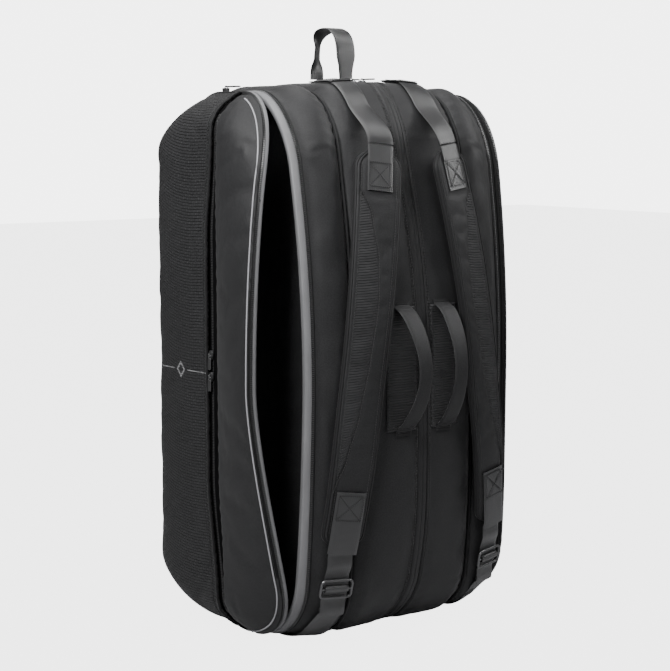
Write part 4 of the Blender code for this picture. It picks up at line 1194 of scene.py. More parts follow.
def build_pocket(word, side):
    """The zipped slot between the lid's two panels, and the empty pocket's cloth inside the lid."""
    body = word + "_lid"
    inside = lid_middle(side)
    offsets = (-SEAM_HALF - 0.016, -0.0042, -0.0026, -0.0008, 0, 0.0008, 0.0026, 0.0042, SEAM_HALF + 0.004)
    sinks = (-0.0062, -0.0050, -0.0040, -0.0040, -0.0048, -0.0040, -0.0040, -0.0044, -0.0050)
    low, high = rim_heights(SEAM_S)
    rows = []
    for offset, sink in zip(offsets, sinks):
        heights = np.linspace(low + 0.012, high - 0.012, 110)
        rows.append([list(lid_surface(side, SEAM_S + offset + seam_shift(z), z, sink)) for z in heights])
    points = np.array(rows)
    normals = outward_normals(points, inside)
    # Painted shade: the slot's tapes take the near-black tape material that stands for the slot's shade.
    chain = grid_object("pocket_zip_tapes_with_slot_shade_" + word, points, MAT["pocket_slot_shade"], wall=0.0012, outward=normals)
    keep(chain, body, "zip_tape", word + "_pocket_zip")
    path, across, ups = [], [], []
    low, high = rim_heights(SEAM_S)
    for z in np.linspace(low + 0.03, high - 0.03, 120):
        path.append(lid_surface(side, SEAM_S + seam_shift(z), z, -0.0038))
        across.append(lid_surface(side, SEAM_S + 0.003, z) - lid_surface(side, SEAM_S - 0.003, z))
        ups.append(rim_frame(side)[2])
    teeth = bars("pocket_zip_coil_" + word, path, across, ups, 0.0022, (0.0013, 0.0040, 0.0012), MAT["teeth"])
    keep(teeth, body, "zip_tape")

    columns = lid_columns(SEAM_S - 0.045, RIM_DEPTH - 0.032, 16)
    rows = []
    for s in columns:
        low, high = rim_heights(s)
        heights = np.linspace(low + 0.085, high - 0.085, 60)
        rows.append([list(lid_surface(side, s, z, -0.0098)) for z in heights])
    points = np.array(rows)
    normals = outward_normals(points, inside)
    points = points - normals * np.abs(wander(points, 12.0, 0.0030, seed=2.0 * side))[..., None]
    liner = grid_object("pocket_cloth_" + word, points, MAT["lining"], wall=0.0008, outward=normals)
    keep(liner, body, "lining", word + "_pocket_liner")


# ---------------------------------------------------------------- shoulder straps
def strap_line(z):
    t = (STRAP_TOP_Z - z) / (STRAP_TOP_Z - STRAP_BOTTOM_Z)
    x = mix(STRAP_TOP_X, STRAP_BOTTOM_X, t) + 0.003 * math.sin(math.pi * t)
    y = -0.1650 + 0.36 * max(z - 0.40, 0) ** 2 + 0.50 * max(0.30 - z, 0) ** 2
    return x, y


def strap_point(side, z, lift):
    x, y = strap_line(z)
    return Vector((side * x, y - lift, z))


def strap_slant(side):
    """The level direction across a strap, towards its outer side."""
    return Vector((side, STRAP_SLANT, 0)).normalized()


def strap_frame(side, z):
    """The strap's middle point, its direction to the outer side, and its outward normal at a height."""
    tangent = (strap_point(side, z - 0.004, 0) - strap_point(side, z + 0.004, 0)).normalized()
    across = strap_slant(side)
    across = (across - tangent * across.dot(tangent)).normalized()
    normal = tangent.cross(across).normalized()
    if normal.y > 0:
        normal = -normal
    return strap_point(side, z, 0), across, normal


def strap_half_width(z):
    """Half the strap's width: rounded ends, a little narrower in the middle than near the top."""
    top, bottom = STRAP_TOP_Z - z, z - STRAP_BOTTOM_Z
    body = mix(0.0315, 0.0335, smooth((z - 0.35) / 0.25))
    body = mix(body, 0.0300, smooth((0.30 - z) / 0.12))
    shoulder = 1 - (1 - min(top / 0.024, 1)) ** 2.4 if top < 0.024 else 1.0
    foot = 1 - (1 - min(bottom / 0.018, 1)) ** 2.2 if bottom < 0.018 else 1.0
    return body * (0.45 + 0.55 * min(shoulder, foot))


PAD_SEAMS = (0.6265, 0.229)
TAB_BOX, FOLD_BOX = (0.634, 0.672), (0.186, 0.226)
INSERT_MARKS = ((0.640, 0.02), (0.600, 0.34), (0.540, 0.55), (0.480, 0.62), (0.400, 0.56), (0.330, 0.45),
                (0.270, 0.26),
                (0.225, 0.02))


def insert_share(z):
    """How much of the strap's width, from its outer edge, the ribbed insert takes at a height."""
    if z >= INSERT_MARKS[0][0] or z <= INSERT_MARKS[-1][0]:
        return 0.02
    for (high, a), (low, b) in zip(INSERT_MARKS, INSERT_MARKS[1:]):
        if low <= z <= high:
            return mix(b, a, smooth((z - low) / (high - low)) * 0.5 + 0.5 * (z - low) / (high - low))
    return 0.02


def build_strap(word, side):
    body = word + "_strap"
    heights = eased(STRAP_TOP_Z, STRAP_BOTTOM_Z, 120, ends=0.25)
    smooth_part, ribbed_part, edge_part = np.linspace(0, 1, 13), np.linspace(0, 1, 9)[1:], (0.89, 0.94, 1.0)
    thick = STRAP_THICK - 0.0012
    rows, inner_rows = [], []
    for z in heights:
        centre, across, normal = strap_frame(side, z)
        half = strap_half_width(z)
        row, inner = [], []
        split = min(1 - 2 * insert_share(z), 0.78)
        lanes = [-1.0, -0.94] + [mix(-0.88, split, t) for t in smooth_part]
        lanes += [mix(split, 0.84, t) for t in ribbed_part] + list(edge_part)
        for lane in lanes:
            edge = min(1 - abs(lane), 0.18) / 0.18
            rim = 0.0018 * bell((1 - abs(lane)) * half, 0.0035)
            crown = 0.0014 * (1 - lane * lane)
            groove = 0.0012 * bell((lane - split) * half, 0.0016)
            groove += 0.0010 * bell((1 - abs(lane)) * half - 0.0062, 0.0012)
            dip = 0.0014 * bell(z - PAD_SEAMS[0], 0.0016) + 0.0012 * bell(z - PAD_SEAMS[1], 0.0016)
            level = (edge ** 0.5 - 1) * thick * 0.5 + crown + rim - groove - dip
            row.append(list(centre + across * (lane * half) + normal * level))
            back = -thick + (1 - edge ** 0.5) * thick * 0.5
            inner.append(list(centre + across * (lane * half) + normal * back))
        rows.append(row)
        inner_rows.append(inner[::-1][1:-1])
    points = np.concatenate([np.array(rows), np.array(inner_rows)], axis=1)
    points = np.concatenate([points, points[:, :1]], axis=1)
    lift = wander(points, 18.0, 0.0008, seed=3.0 * side)
    points[..., 1] -= np.abs(lift)
    pad = grid_object("strap_pad_" + word, points, MAT["pad_cloth"])
    mesh = pad.data
    mesh.materials.append(MAT["ribbed_fine"])
    columns = points.shape[1] - 1
    for face in mesh.polygons:
        i, j = divmod(face.index, columns)
        if 14 <= j < 22 and insert_share((heights[i] + heights[i + 1]) / 2) > 0.10:
            face.material_index = 1
    close_ends(pad)
    soften(pad, [pad_weight(side, v.co) for v in mesh.vertices], 0.0022)
    keep(pad, body, "strap_foam", word + "_strap_pad")
    build_strap_trim(word, side, body)


def pad_weight(side, point):
    """Where a pad is sewn down: its edges, its middle seam, its cross seams and both webbing ends."""
    centre, across, _ = strap_frame(side, point.z)
    half = max(strap_half_width(point.z), 0.01)
    lane = (point - centre).dot(across) / half
    split = 1 - 2 * insert_share(point.z)
    if point.z > 0.620 or point.z < 0.235:
        return 1.0
    near = min((1 - abs(lane)) * half - 0.007, abs(lane - split) * half, PAD_SEAMS[0] - point.z,
               point.z - PAD_SEAMS[1])
    return 1 - smooth(near / 0.006)


def strap_lane(side, lane_at, heights, lift):
    path = []
    for z in heights:
        centre, across, normal = strap_frame(side, z)
        path.append(centre + across * (lane_at(z) * strap_half_width(z)) + normal * lift)
    return path


def build_strap_trim(word, side, body):
    """Bound edges, the seam round the ribbed insert, and the rows of stitches."""
    heights = eased(STRAP_TOP_Z - 0.0005, STRAP_BOTTOM_Z + 0.0005, 110, ends=0.5)
    right = strap_lane(side, lambda z: 1.0, heights, -0.0042)
    left = strap_lane(side, lambda z: -1.0, heights, -0.0042)
    outline = right + left[::-1]
    guides = [strap_frame(side, p.z)[2] for p in outline]
    bound = tube("strap_binding_" + word, outline, 0.0024, MAT["cloth_dark"], sides=10, closed=True,
                 flat=1.7, guide=guides)
    keep(bound, body, "strap_foam")
    inner = heights[6:-6]
    lanes = [strap_lane(side, lambda z: sign * (1 - 0.0068 / strap_half_width(z)), inner,
                        0.0006) for sign in (-1, 1)]
    seam_heights = np.linspace(INSERT_MARKS[0][0], INSERT_MARKS[-1][0], 90)
    seam = strap_lane(side, lambda z: 1 - 2 * insert_share(z) - 0.055, seam_heights, 0.0012)
    marks = np.linspace(-0.84, 0.84, 20)
    across_top = [strap_lane(side, lambda z: lane, [0.6285], 0.0004)[0] for lane in marks]
    rows = stitches("strap_stitches_" + word, lanes + [seam, across_top], MAT["thread"], pitch=0.0036,
                    length=0.0026)
    keep(rows, body, "strap_foam")

    build_cross_patch(word, side, "top", TAB_BOX, WEBBING, 0.0042)
    build_cross_patch(word, side, "bottom", FOLD_BOX, FOLD_WIDTH, 0.0050)
    build_strap_webbing(word, side, body)


def cross_dips(low_share, high_share):
    """How deep the stitched cross and its box press into a patch, by its lane and its share of the length."""
    def dips(lane, t):
        if not low_share < t < high_share:
            return 0.0
        v = (t - low_share) / (high_share - low_share) * 2 - 1
        u = lane / 0.86
        near = min(abs(u - v), abs(u + v), abs(abs(u) - 1) * 1.4, abs(abs(v) - 1) * 1.4)
        return 0.0011 * bell(near, 0.10)
    return dips


def build_cross_patch(word, side, name, box, width, lift):
    """The box with a cross that holds the webbing to the pad, between two heights."""
    half = width / 2 * 0.84
    corners = []
    for z in (box[1] - 0.003, box[0] + 0.003):
        centre, across, normal = strap_frame(side, z)
        corners.append([centre + across * (k * half) + normal * lift for k in (-1, 1)])
    (a, b), (c, d) = corners
    lanes = [[a, b], [b, d], [d, c], [c, a], [a, d], [b, c]]
    fine = [[p.lerp(q, t) for t in np.linspace(0, 1, 12)] for p, q in lanes]
    rows = stitches("strap_cross_%s_%s" % (name, word), fine, MAT["thread"], pitch=0.0030, length=0.0023,
                    radius=0.00055)
    keep(rows, word + "_strap", "webbing")


def build_strap_webbing(word, side, body):
    """The satin webbing at the strap's two ends: a flat tab on top, and a tail that runs to the buckle."""
    across = strap_slant(side)
    span = np.linspace(STRAP_HINGE_Z - 0.0012, 0.6315, 40)
    path = [strap_point(side, z, 0.0026) for z in span]
    start = (span[0] - TAB_BOX[1]) / (span[0] - span[-1])
    tab = band("strap_tab_" + word, path, across, WEBBING, MAT["webbing"], thick=0.0018, columns=16,
               crown=0.0006,
               dips=cross_dips(start, 0.97))
    keep(tab, body, "webbing", word + "_strap_top_tab")

    span = np.linspace(0.228, STRAP_BOTTOM_Z - 0.010, 46)
    path = [strap_point(side, z, 0.0026 + 0.0012 * smooth((0.19 - z) / 0.04)) for z in span]
    share = (span[0] - FOLD_BOX[0]) / (span[0] - span[-1])
    fold = band("strap_fold_" + word, path, across, FOLD_WIDTH, MAT["webbing"], thick=0.0036, columns=16,
                crown=0.0004,
                dips=cross_dips(0.04, share))
    keep(fold, body, "webbing")
    start = strap_point(side, STRAP_BOTTOM_Z, 0.0016)
    end = Vector((side * TAIL_END.x, TAIL_END.y, TAIL_END.z))
    path = [start.lerp(end, t) for t in np.linspace(-0.15, 1.0, 50)]
    path = [p + Vector((0, 0.0012 * math.sin(p.z * 190), 0)) for p in path]
    tail = band("strap_tail_" + word, path, across, WEBBING - 0.0006, MAT["webbing"], thick=0.0017,
                columns=12)
    keep(tail, body, "webbing", word + "_strap_tail")
    build_adjuster(word, start, end, across)
    build_lower_webbing(word, side, end, across)


def build_adjuster(word, start, end, across):
    """A wire ladder buckle: a rounded frame with a middle bar, and the webbing looped over the bar."""
    down = (end - start).normalized()
    across = (across - down * across.dot(down)).normalized()
    normal = down.cross(across).normalized()
    if normal.y > 0:
        normal = -normal
    seat = start.lerp(end, 0.60) + normal * 0.0031
    half_w, half_h, corner = 0.0235, 0.0125, 0.0055
    path = []
    for cx, cy, first in ((1, 1, 0), (-1, 1, 90), (-1, -1, 180), (1, -1, 270)):
        for k in range(7):
            turn = math.radians(first + 15 * k)
            x = cx * (half_w - corner) + corner * math.cos(turn)
            y = cy * (half_h - corner) + corner * math.sin(turn)
            path.append(seat + across * x - down * y)
    dense = []
    for i, point in enumerate(path):
        following = path[(i + 1) % len(path)]
        steps = max(int((following - point).length / 0.003), 1)
        dense += [point.lerp(following, k / steps) for k in range(steps)]
    rim = tube("buckle_frame_" + word, dense, 0.00185, MAT["metal"], sides=12, closed=True,
               guide=[normal] * len(dense))
    bar_path = [seat + across * x for x in np.linspace(-half_w, half_w, 16)]
    bar = tube("buckle_bar_" + word, bar_path, 0.0016, MAT["metal"], sides=12)
    keep(joined("adjuster_" + word, [rim, bar]), word + "_adjuster", "black_metal", word + "_adjuster_buckle")
    wrap = []
    for k in range(25):
        turn = math.pi * 2 * k / 24
        drop = 0.0046 * math.copysign(abs(math.sin(turn)) ** 0.6, math.sin(turn))
        wrap.append(seat + normal * (0.0027 * math.cos(turn)) + down * drop)
    loop = band("adjuster_wrap_" + word, wrap, across, WEBBING - 0.003, MAT["webbing"], thick=0.0014,
                columns=8)
    keep(loop, word + "_adjuster", "webbing")


def skin_path(side, near, far, indexes, lift):
    path, across = [], []
    for k in indexes:
        ahead = near[(k + 1) % LOOP_POINTS] + far[(k + 1) % LOOP_POINTS]
        behind = near[k - 1] + far[k - 1]
        out = Vector((0, behind.z - ahead.z, ahead.y - behind.y)).normalized()
        path.append(mirrored((near[k] + far[k]) / 2 + out * lift, side))
        across.append(mirrored(far[k] - near[k], side))
    return path, across


def build_lower_webbing(word, side, top, across):
    """The webbing from the tail down under the pod, and the flared tab that anchors it in the bottom seam."""
    indexes = range(LOOP_POINTS - 16, ARC_START - 1, -1)
    path, widths = skin_path(side, pod_station(0.16, 1), pod_station(0.66, 1), indexes, 0.0042)
    path = [Vector((top.x, p.y, p.z)) for p in path]
    lead = [Vector((top.x, top.y, top.z + 0.012)), top + Vector((0, 0.0004, 0.004))]
    piece = band("lower_webbing_" + word, lead + path, [across] * 2 + widths, WEBBING - 0.001,
                 MAT["webbing"], thick=0.0016)
    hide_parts(word + "_lower_webbing")
    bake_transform(piece)

    indexes = range(LOOP_POINTS - 18, ARC_START - 6, -1)
    path, widths = skin_path(side, pod_station(0.10, 1), pod_station(0.60, 1), indexes, 0.0022)
    flare = [mix(0.040, 0.062, smooth(i / (len(path) - 1))) for i in range(len(path))]
    tab = band("anchor_tab_" + word, path, widths, flare, MAT["cloth_dark"], thick=0.0018)
    keep(tab, "bag", "webbing")


def build_top_webbing(word, side):
    """Webbing from the top seam down over the shoulder, with the sewn fold at its upper end."""
    indexes = range(TOP_START + 4, STEPS[0] - 8, -1)
    path, across = skin_path(side, middle_station(0.043), middle_station(0.079), indexes, 0.0034)
    path = [p + Vector((side * mix(-0.001, 0.0, i / len(path)), 0, 0)) for i, p in enumerate(path)]
    end = strap_point(side, STRAP_HINGE_Z + 0.0012, 0.0026)
    kept = [i for i, p in enumerate(path) if p.z > end.z + 0.052]
    path, across = [path[i] for i in kept], [across[i] for i in kept]
    last = path[-1]
    slant = strap_slant(side)
    leave = (path[-1] - path[-2]).normalized()
    arrive = (strap_point(side, STRAP_HINGE_Z - 0.01, 0) - strap_point(side, STRAP_HINGE_Z, 0)).normalized()
    reach = (end - last).length / 3.0
    marks = (last, last + leave * reach, end - arrive * reach, end)
    start_way = across[-1].normalized()
    for t in np.linspace(0.06, 1, 26):
        shares = ((1 - t) ** 3, 3 * t * (1 - t) ** 2, 3 * t * t * (1 - t), t**3)
        path.append(sum((m * w for m, w in zip(marks, shares)), Vector()))
        across.append(start_way.lerp(slant, smooth(t)))
    piece = band("top_webbing_" + word, path, across, WEBBING, MAT["webbing"], thick=0.0017, columns=12)
    keep(piece, "bag", "webbing", word + "_top_webbing")
    fold_path = [p + Vector((0, 0, 0.0016)) for p in path[:9]]
    fold = band("top_webbing_fold_" + word, fold_path, across[:9], WEBBING + 0.0008, MAT["webbing"],
                thick=0.0026)
    keep(fold, "bag", "webbing")
    lanes, marks = [], np.linspace(-1, 1, 9)
    for i in (1, 7):
        centre, way = fold_path[i], across[i].normalized()
        lanes.append([centre + way * (k * 0.0165) + Vector((0, -0.0006, 0.0018)) for k in marks])
    rows = stitches("top_webbing_stitches_" + word, lanes, MAT["thread"], pitch=0.003, length=0.0023)
    keep(rows, "bag", "webbing")


# ---------------------------------------------------------------- carry handles
BACKING_HEM = 0.0068


def border_distance(x, y, xs, ys):
    return min(x - xs[0], xs[-1] - x, y - ys[0], ys[-1] - y)


def build_handle(word, side):
    face = middle_section(HANDLE_X)[0] - 0.0026
    path = []
    steps = 70
    for i in range(steps + 1):
        t = i / steps
        z = mix(HANDLE_LOW, HANDLE_HIGH, t)
        bow = (HANDLE_BOW - 0.008) * math.sin(math.pi * t) ** 0.75
        path.append(Vector((side * (HANDLE_X - 0.004 * math.sin(math.pi * t)), face - 0.0042 - bow, z)))
    widths = [HANDLE_WIDTH * (0.96 - 0.20 * math.sin(math.pi * i / steps) ** 2) for i in range(steps + 1)]
    dips = lambda lane, t: 0.0009 * bell(abs(lane) - 0.84, 0.06)
    grip = band("carry_handle_" + word, path, Vector((1, 0, 0)), widths, MAT["pad_cloth"], thick=0.0042,
                columns=14,
                crown=0.0008, dips=dips)
    keep(grip, word + "_handle", "smooth_fabric", word + "_carry_handle")
    build_handle_backing(word, side, face)


def build_handle_backing(word, side, face):
    """The ribbed patch behind a handle, with folded edges, stitches and the handle's sewn-down ends."""
    xs = np.linspace(0.0140, 0.0640, 18)
    zs = np.linspace(HANDLE_LOW - 0.005, HANDLE_HIGH + 0.006, 60)
    rows = []
    for x in xs:
        row = []
        for z in zs:
            border = border_distance(x, z, xs, zs)
            rise = 0.0010 + 0.0009 * bell(border - 0.0030, 0.0030)
            rise -= 0.0010 * bell(border - BACKING_HEM, 0.001)
            row.append((side * x, harness_y(x, z) - rise - 0.0012, z))
        rows.append(row)
    patch = grid_object("handle_backing_cloth_" + word, rows, MAT["ribbed_fine"], wall=0.0016,
                        outward=(0, -1, 0),
                        uv_turn=True)
    keep(patch, "bag", "ribbed_fabric", word + "_handle_backing")
    levels = (zs[0] + BACKING_HEM, zs[-1] - BACKING_HEM)
    lanes = [[Vector((side * x, harness_y(x, z) - 0.0022, z)) for x in xs] for z in levels]
    lanes.append([Vector((side * (xs[-1] - BACKING_HEM), harness_y(xs[-1], z) - 0.0026, z)) for z in zs])
    keep(stitches("backing_stitches_" + word, lanes, MAT["thread"]), "bag", "ribbed_fabric")
    for name, z0, way in (("low", HANDLE_LOW, -1), ("high", HANDLE_HIGH, 1)):
        path = []
        for t in np.linspace(0, 1, 10):
            z = z0 + way * mix(-0.0006, 0.0120, t)
            y = mix(face - 0.0038, harness_y(HANDLE_X, z) - 0.0022, smooth(t * 1.6))
            path.append(Vector((side * HANDLE_X, y, z)))
        foot = band("handle_foot_%s_%s" % (name, word), path, Vector((1, 0, 0)), HANDLE_WIDTH * 0.93,
                    MAT["pad_cloth"], thick=0.0030)
        keep(foot, "bag", "smooth_fabric")
        xs = np.linspace(-0.0125, 0.0125, 10)
        lanes = [[path[k] + Vector((side * x, -0.0018, 0)) for x in xs] for k in (5, 7)]
        rows = stitches("handle_foot_stitches_%s_%s" % (name, word), lanes, MAT["thread"], pitch=0.0026,
                        length=0.0021)
        keep(rows, "bag", "smooth_fabric")


def harness_y(x, z):
    """Y of the harness cloth at a place on the flat of the harness face."""
    front, rear = middle_section(x)[:2]
    return front + lean(0, z, rear - front, mix(1, LEAN_VALLEY, (x / VALLEY_X) ** 2))


# ---------------------------------------------------------------- grab loop
def build_grab_loop():
    patch = HEIGHT + 0.0019
    middle_y, half = (LOOP_FRONT_Y + LOOP_REAR_Y) / 2, (LOOP_REAR_Y - LOOP_FRONT_Y) / 2
    path, across, widths = [], [], []
    steps = 90
    for i in range(steps + 1):
        turn = math.pi * i / steps
        bulge = 1 + 0.30 * math.sin(turn) ** 1.5
        rise = LOOP_HEIGHT * math.sin(turn) ** 0.70 if 0 < i < steps else 0
        path.append(Vector((0, middle_y - half * math.cos(turn) * bulge, patch + 0.0040 + rise)))
        twist = math.radians(41) * smooth((turn - 1.9) / 0.7) * smooth((3.14 - turn) / 0.30)
        across.append(Vector((math.cos(twist), math.sin(twist) * 0.9, math.sin(twist) * 0.35)))
        widths.append(mix(0.024, LOOP_WIDTH + 0.009, smooth(min(i, steps - i) / 10)))
    loop = band("grab_loop_webbing", path, across, widths, MAT["webbing"], thick=0.0019, columns=12)
    keep(loop, "grab_loop", "webbing", "grab_loop")
    xs, ys = np.linspace(-0.0165, 0.0165, 14), np.linspace(LOOP_FRONT_Y - 0.007, LOOP_REAR_Y + 0.003, 30)
    rows = []
    for x in xs:
        row = []
        for y in ys:
            border = border_distance(x, y, xs, ys)
            rise = 0.0016 * (1 - math.exp(-border / 0.0018)) - 0.0007 * bell(border - 0.0045, 0.001)
            row.append((x, y, HEIGHT + 0.0006 + rise - 0.9 * max(y - TOP_SEAM_Y, 0) ** 2 * 4))
        rows.append(row)
    seat = grid_object("grab_loop_seat", rows, MAT["cloth_dark"], wall=0.0016, outward=(0, 0, 1))
    keep(seat, "bag", "webbing", "grab_loop_patch")
    for name, y in (("front", path[0].y), ("rear", path[-1].y)):
        offsets = np.linspace(-0.006, 0.006, 7)
        foot_path = [Vector((0, y + dy, HEIGHT + 0.0030 - abs(dy) * 0.05)) for dy in offsets]
        foot = band("grab_loop_foot_" + name, foot_path, Vector((1, 0, 0)), 0.023, MAT["webbing"],
                    thick=0.0022)
        keep(foot, "bag", "webbing")


# ---------------------------------------------------------------- zip sliders
SLIDER_LENGTH, SLIDER_WIDTH, SLIDER_HEIGHT = 0.0130, 0.0085, 0.0036
RIM_SINK = 0.0015
BAIL_AXIS = SLIDER_HEIGHT + 0.0016


def placed(obj, seat, along, normal):
    """Stands a mesh built on the X-Y plane at a seat: its Y runs along, its Z is the normal."""
    along = Vector(along)
    along = (along - normal * along.dot(normal)).normalized()
    turn = Matrix((along.cross(normal), along, normal)).transposed().to_4x4()
    obj.data.transform(Matrix.Translation(seat) @ turn)
    return obj


def slider_body(name, sink):
    """A slider: a waisted top plate, side flanges down to the tape, and the bail that carries the pull."""
    half_l, half_w = SLIDER_LENGTH / 2, SLIDER_WIDTH / 2
    outline = [(-1.0, -0.35), (-0.86, -0.72), (-0.55, -1.0), (0.55, -1.0), (0.86, -0.72), (1.0, -0.35),
               (0.92, 0.25),
               (0.66, 0.78), (0.42, 1.0), (-0.42, 1.0), (-0.66, 0.78), (-0.92, 0.25)]
    bm = bmesh.new()
    levels = ((-sink, 0.90), (0.0006, 1.0), (0.0022, 1.0), (0.0032, 0.90), (SLIDER_HEIGHT, 0.70))
    rings = []
    for z, scale in levels:
        wide, long = half_w * scale, half_l * (0.4 + 0.6 * scale)
        rings.append([bm.verts.new((x * wide, y * long, z)) for x, y in outline])
    for a, b in zip(rings, rings[1:]):
        for k in range(len(outline)):
            n = (k + 1) % len(outline)
            bm.faces.new((a[k], a[n], b[n], b[k]))
    bm.faces.new(rings[0][::-1])
    bm.faces.new(rings[-1])
    plate = mesh_object(name + "_plate", bm, MAT["metal"], angle=40)
    path = []
    for t in np.linspace(0, 1, 14):
        turn = math.pi * t
        path.append(Vector((0, -0.0031 * math.cos(turn),
                            SLIDER_HEIGHT - 0.0006 + 0.0034 * math.sin(turn) ** 0.7)))
    bail = tube(name + "_arch", path, 0.0007, MAT["metal"], sides=8)
    return joined(name, [plate, bail])


def pull_tab(name, length, width, ring):
    """A pull: a metal eye round the bail, and either a moulded tab or an open metal ring."""
    path = []
    for k in range(20):
        turn = 2 * math.pi * k / 20
        path.append(Vector((0.0021 * math.cos(turn), 0.0022 + 0.0026 * math.sin(turn), 0)))
    eye = tube(name + "_eye", path, 0.0006, MAT["metal"], sides=8, closed=True)
    half = width / 2
    if ring:
        path = []
        for k in range(36):
            turn = 2 * math.pi * k / 36
            path.append(Vector((half * math.cos(turn),
                                0.0045 + (length - 0.0045) / 2 * (1 + math.sin(turn)), 0)))
        tab = tube(name + "_ring", path, 0.0010, MAT["metal"], sides=8, closed=True)
        return joined(name, [eye, tab])
    rows = []
    for t in np.linspace(0, 1, 20):
        taper = 1 - 0.25 * math.exp(-t / 0.08) - 0.22 * math.exp(-(1 - t) / 0.05)
        row = []
        for k in range(13):
            turn = 2 * math.pi * k / 12
            x = half * taper * math.copysign(abs(math.cos(turn)) ** 0.45, math.cos(turn))
            ridge = 0.00025 * math.sin(t * 60) if 0.35 < t < 0.85 else 0
            z = (0.0011 + ridge) * math.copysign(abs(math.sin(turn)) ** 0.7, math.sin(turn))
            row.append((x, mix(0.0038, length, t), z))
        rows.append(row)
    tab = grid_object(name + "_grip", rows, MAT["rubber"])
    close_ends(tab)
    return joined(name, [eye, tab])


def put_slider(name, seat, along, normal, size, ring=False, sink=0.0):
    slider = placed(slider_body(name + "_metal", sink), seat, along, normal)
    keep(slider, name, "black_metal", name)
    pull = placed(pull_tab(name + "_grip_piece", size[0], size[1], ring), seat + normal * BAIL_AXIS, along,
                  normal)
    keep(pull, name + "_pull", "black_metal", name + "_pull")


def build_sliders():
    for _, side in SIDES:
        front, along, _ = rim_frame(side)
        rear_top = front + along * (RIM_DEPTH - RIM_RADII[1]) + UP * (RIM_TOP + 0.0021)
        bottom = front + along * (RIM_RADII[3] + 0.025) + UP * (RIM_BOTTOM - 0.0008)
        if side < 0:
            put_slider("left_zip_top_slider", rear_top, -along, UP, (0.032, 0.0110), sink=RIM_SINK)
            put_slider("left_zip_bottom_slider", bottom, along, -UP, (0.026, 0.0090))
        else:
            put_slider("right_zip_rear_slider", rear_top, along, UP, (0.020, 0.0100), ring=True,
                       sink=RIM_SINK)
            ahead = rear_top - along * 0.0220
            put_slider("right_zip_front_slider", ahead, -along, UP, (0.020, 0.0100), ring=True, sink=RIM_SINK)
    seat_z = HEIGHT - 0.0010
    for name, y, size in (("centre_zip_front_slider", LOOP_FRONT_Y - 0.038, (0.026, 0.0080)),
                          ("centre_zip_rear_slider", LOOP_FRONT_Y - 0.017, (0.012, 0.0080))):
        put_slider(name, Vector((0, y, seat_z)), Vector((0, -1, 0)), UP, size)
    spots = (("left_pocket_upper_slider", -1, 0.404), ("left_pocket_lower_slider", -1, 0.374),
             ("right_pocket_slider", 1, 0.390))
    for name, side, z in spots:
        seat = lid_surface(side, SEAM_S, z, -POCKET_RECESS + 0.0005)
        level = (lid_surface(side, SEAM_S + 0.01, z) - lid_surface(side, SEAM_S - 0.01, z)).normalized()
        normal = level.cross(UP) * side
        if normal.dot(rim_frame(side)[2]) < 0:
            normal = -normal
        put_slider(name, seat, Vector((0, 0, -1)), normal, (0.020, 0.0070))


# ---------------------------------------------------------------- base
def build_base():
    """The moulded board under the middle pod, with a raised edge and shallow ribs."""
    xs = np.linspace(-0.104, 0.104, 60)
    rows = []
    for x in xs:
        outline = middle_station(float(x))
        front, rear = outline[ARC_START].y + 0.001, outline[BOTTOM_START].y - 0.001
        row = []
        for y in np.linspace(front, rear, 30):
            border = min(x + 0.104, 0.104 - x, y - front, rear - y)
            rib = 0.0006 * (0.5 + 0.5 * math.sin(x * 2 * math.pi / 0.016)) if border > 0.010 else 0
            row.append((x, y, 0.0002 + rib))
        rows.append(row)
    board = grid_object("base_board_moulding", rows, MAT["board"], wall=0.0040, outward=(0, 0, -1))
    keep(board, "bag", "board", "base_board")


# ---------------------------------------------------------------- camera, light and floor
AZIMUTH, ELEVATION, ROLL, DISTANCE = -37.19, 7.46, 0.17, 2.3394
AIM_RIGHT, AIM_UP, LENS = -0.0265, 0.4142, 85.72


def build_camera():
    a, e = math.radians(AZIMUTH), math.radians(ELEVATION)
    back = Vector((math.sin(a) * math.cos(e), -math.cos(a) * math.cos(e), math.sin(e)))
    right = Vector((math.cos(a), math.sin(a), 0))
    camera = bpy.data.cameras.new("camera")
    camera.lens = LENS
    camera.sensor_width = 36
    obj = link(bpy.data.objects.new("camera", camera))
    turn = Matrix((right, back.cross(right), back)).transposed().to_4x4()
    roll = Matrix.Rotation(math.radians(ROLL), 4, "Z")
    obj.matrix_world = Matrix.Translation(right * AIM_RIGHT + UP * AIM_UP + back * DISTANCE) @ (turn @ roll)
    bpy.context.scene.camera = obj


def add_softbox(name, place, aim, size, power):
    light = bpy.data.lights.new(name, "AREA")
    light.shape = "RECTANGLE"
    light.size, light.size_y = size
    light.energy = power
    obj = link(bpy.data.objects.new(name, light))
    obj.location = place
    obj.visible_camera = False
    obj.rotation_mode = "QUATERNION"
    obj.rotation_quaternion = (Vector(aim) - Vector(place)).to_track_quat("-Z", "Y")


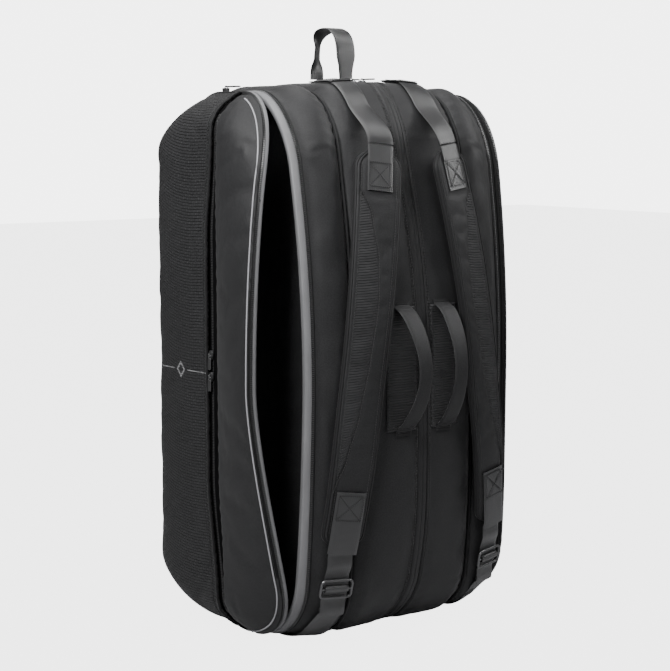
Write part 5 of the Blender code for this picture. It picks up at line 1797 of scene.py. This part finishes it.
def build_studio():
    world = bpy.data.worlds.new("studio")
    bpy.context.scene.world = world
    world.use_nodes = True
    tree = world.node_tree
    background = fill(tree, tree.nodes["Background"], Color=(1, 1, 1, 1), Strength=0.12)
    seen = add_node(tree, "Background", Color=(1, 1, 1, 1), Strength=5.0)
    choose = add_node(tree, "MixShader", n0=add_node(tree, "LightPath").outputs["Is Camera Ray"],
                      n1=background.outputs[0], n2=seen.outputs[0])
    fill(tree, tree.nodes["World Output"], Surface=choose.outputs[0])
    add_softbox("key_left", (-1.15, -0.48, 1.45), (-0.18, -0.06, 0.72), (0.7, 0.7), 50)
    add_softbox("fill_right", (1.10, -0.65, 1.38), (0.12, 0, 0.70), (0.7, 0.7), 16)
    add_softbox("front", (-0.40, -1.30, 1.45), (0.00, -0.10, 0.66), (0.6, 0.6), 10)
    add_softbox("top", (0.00, 0.05, 1.65), (0, 0, 0.78), (0.8, 0.8), 12)
    add_softbox("rear", (1.15, 1.55, 1.20), (0, 0, 0.76), (1.3, 0.8), 5)
    bm = bmesh.new()
    bmesh.ops.create_grid(bm, x_segments=1, y_segments=1, size=9)
    floor = mesh_object("studio_floor", bm, floor_material())


def floor_material():
    """A pale matt floor, made brighter for the camera alone, so that it throws no extra light on the bag."""
    material, tree, shader = new_material("pale_floor")
    tone = ramp(tree, noise_field(tree, False, (3, 3, 3)), [(0.3, grey(0.44)), (0.7, grey(0.48))])
    fill(tree, shader, Base_Color=tone, Roughness=0.7, Specular_IOR_Level=0.0)
    glow = add_node(tree, "Emission", Color=(1, 1, 1, 1), Strength=4.6)
    share = calc(tree, "MULTIPLY", add_node(tree, "LightPath").outputs["Is Camera Ray"], 0.85)
    choose = add_node(tree, "MixShader", n0=share, n1=shader.outputs[0], n2=glow.outputs[0])
    fill(tree, tree.nodes["Material Output"], Surface=choose.outputs[0])
    return material


# ---------------------------------------------------------------- assembly
build_camera()
build_studio()
build_middle_pod()
build_centre_zip()
build_valley_seams()
build_side_pods()
build_hinge_linings()
for WORD, SIDE in SIDES:
    build_lid(WORD, SIDE)
    build_strap(WORD, SIDE)
    build_top_webbing(WORD, SIDE)
    build_handle(WORD, SIDE)
build_grab_loop()
build_sliders()
build_base()
settle_cloth()
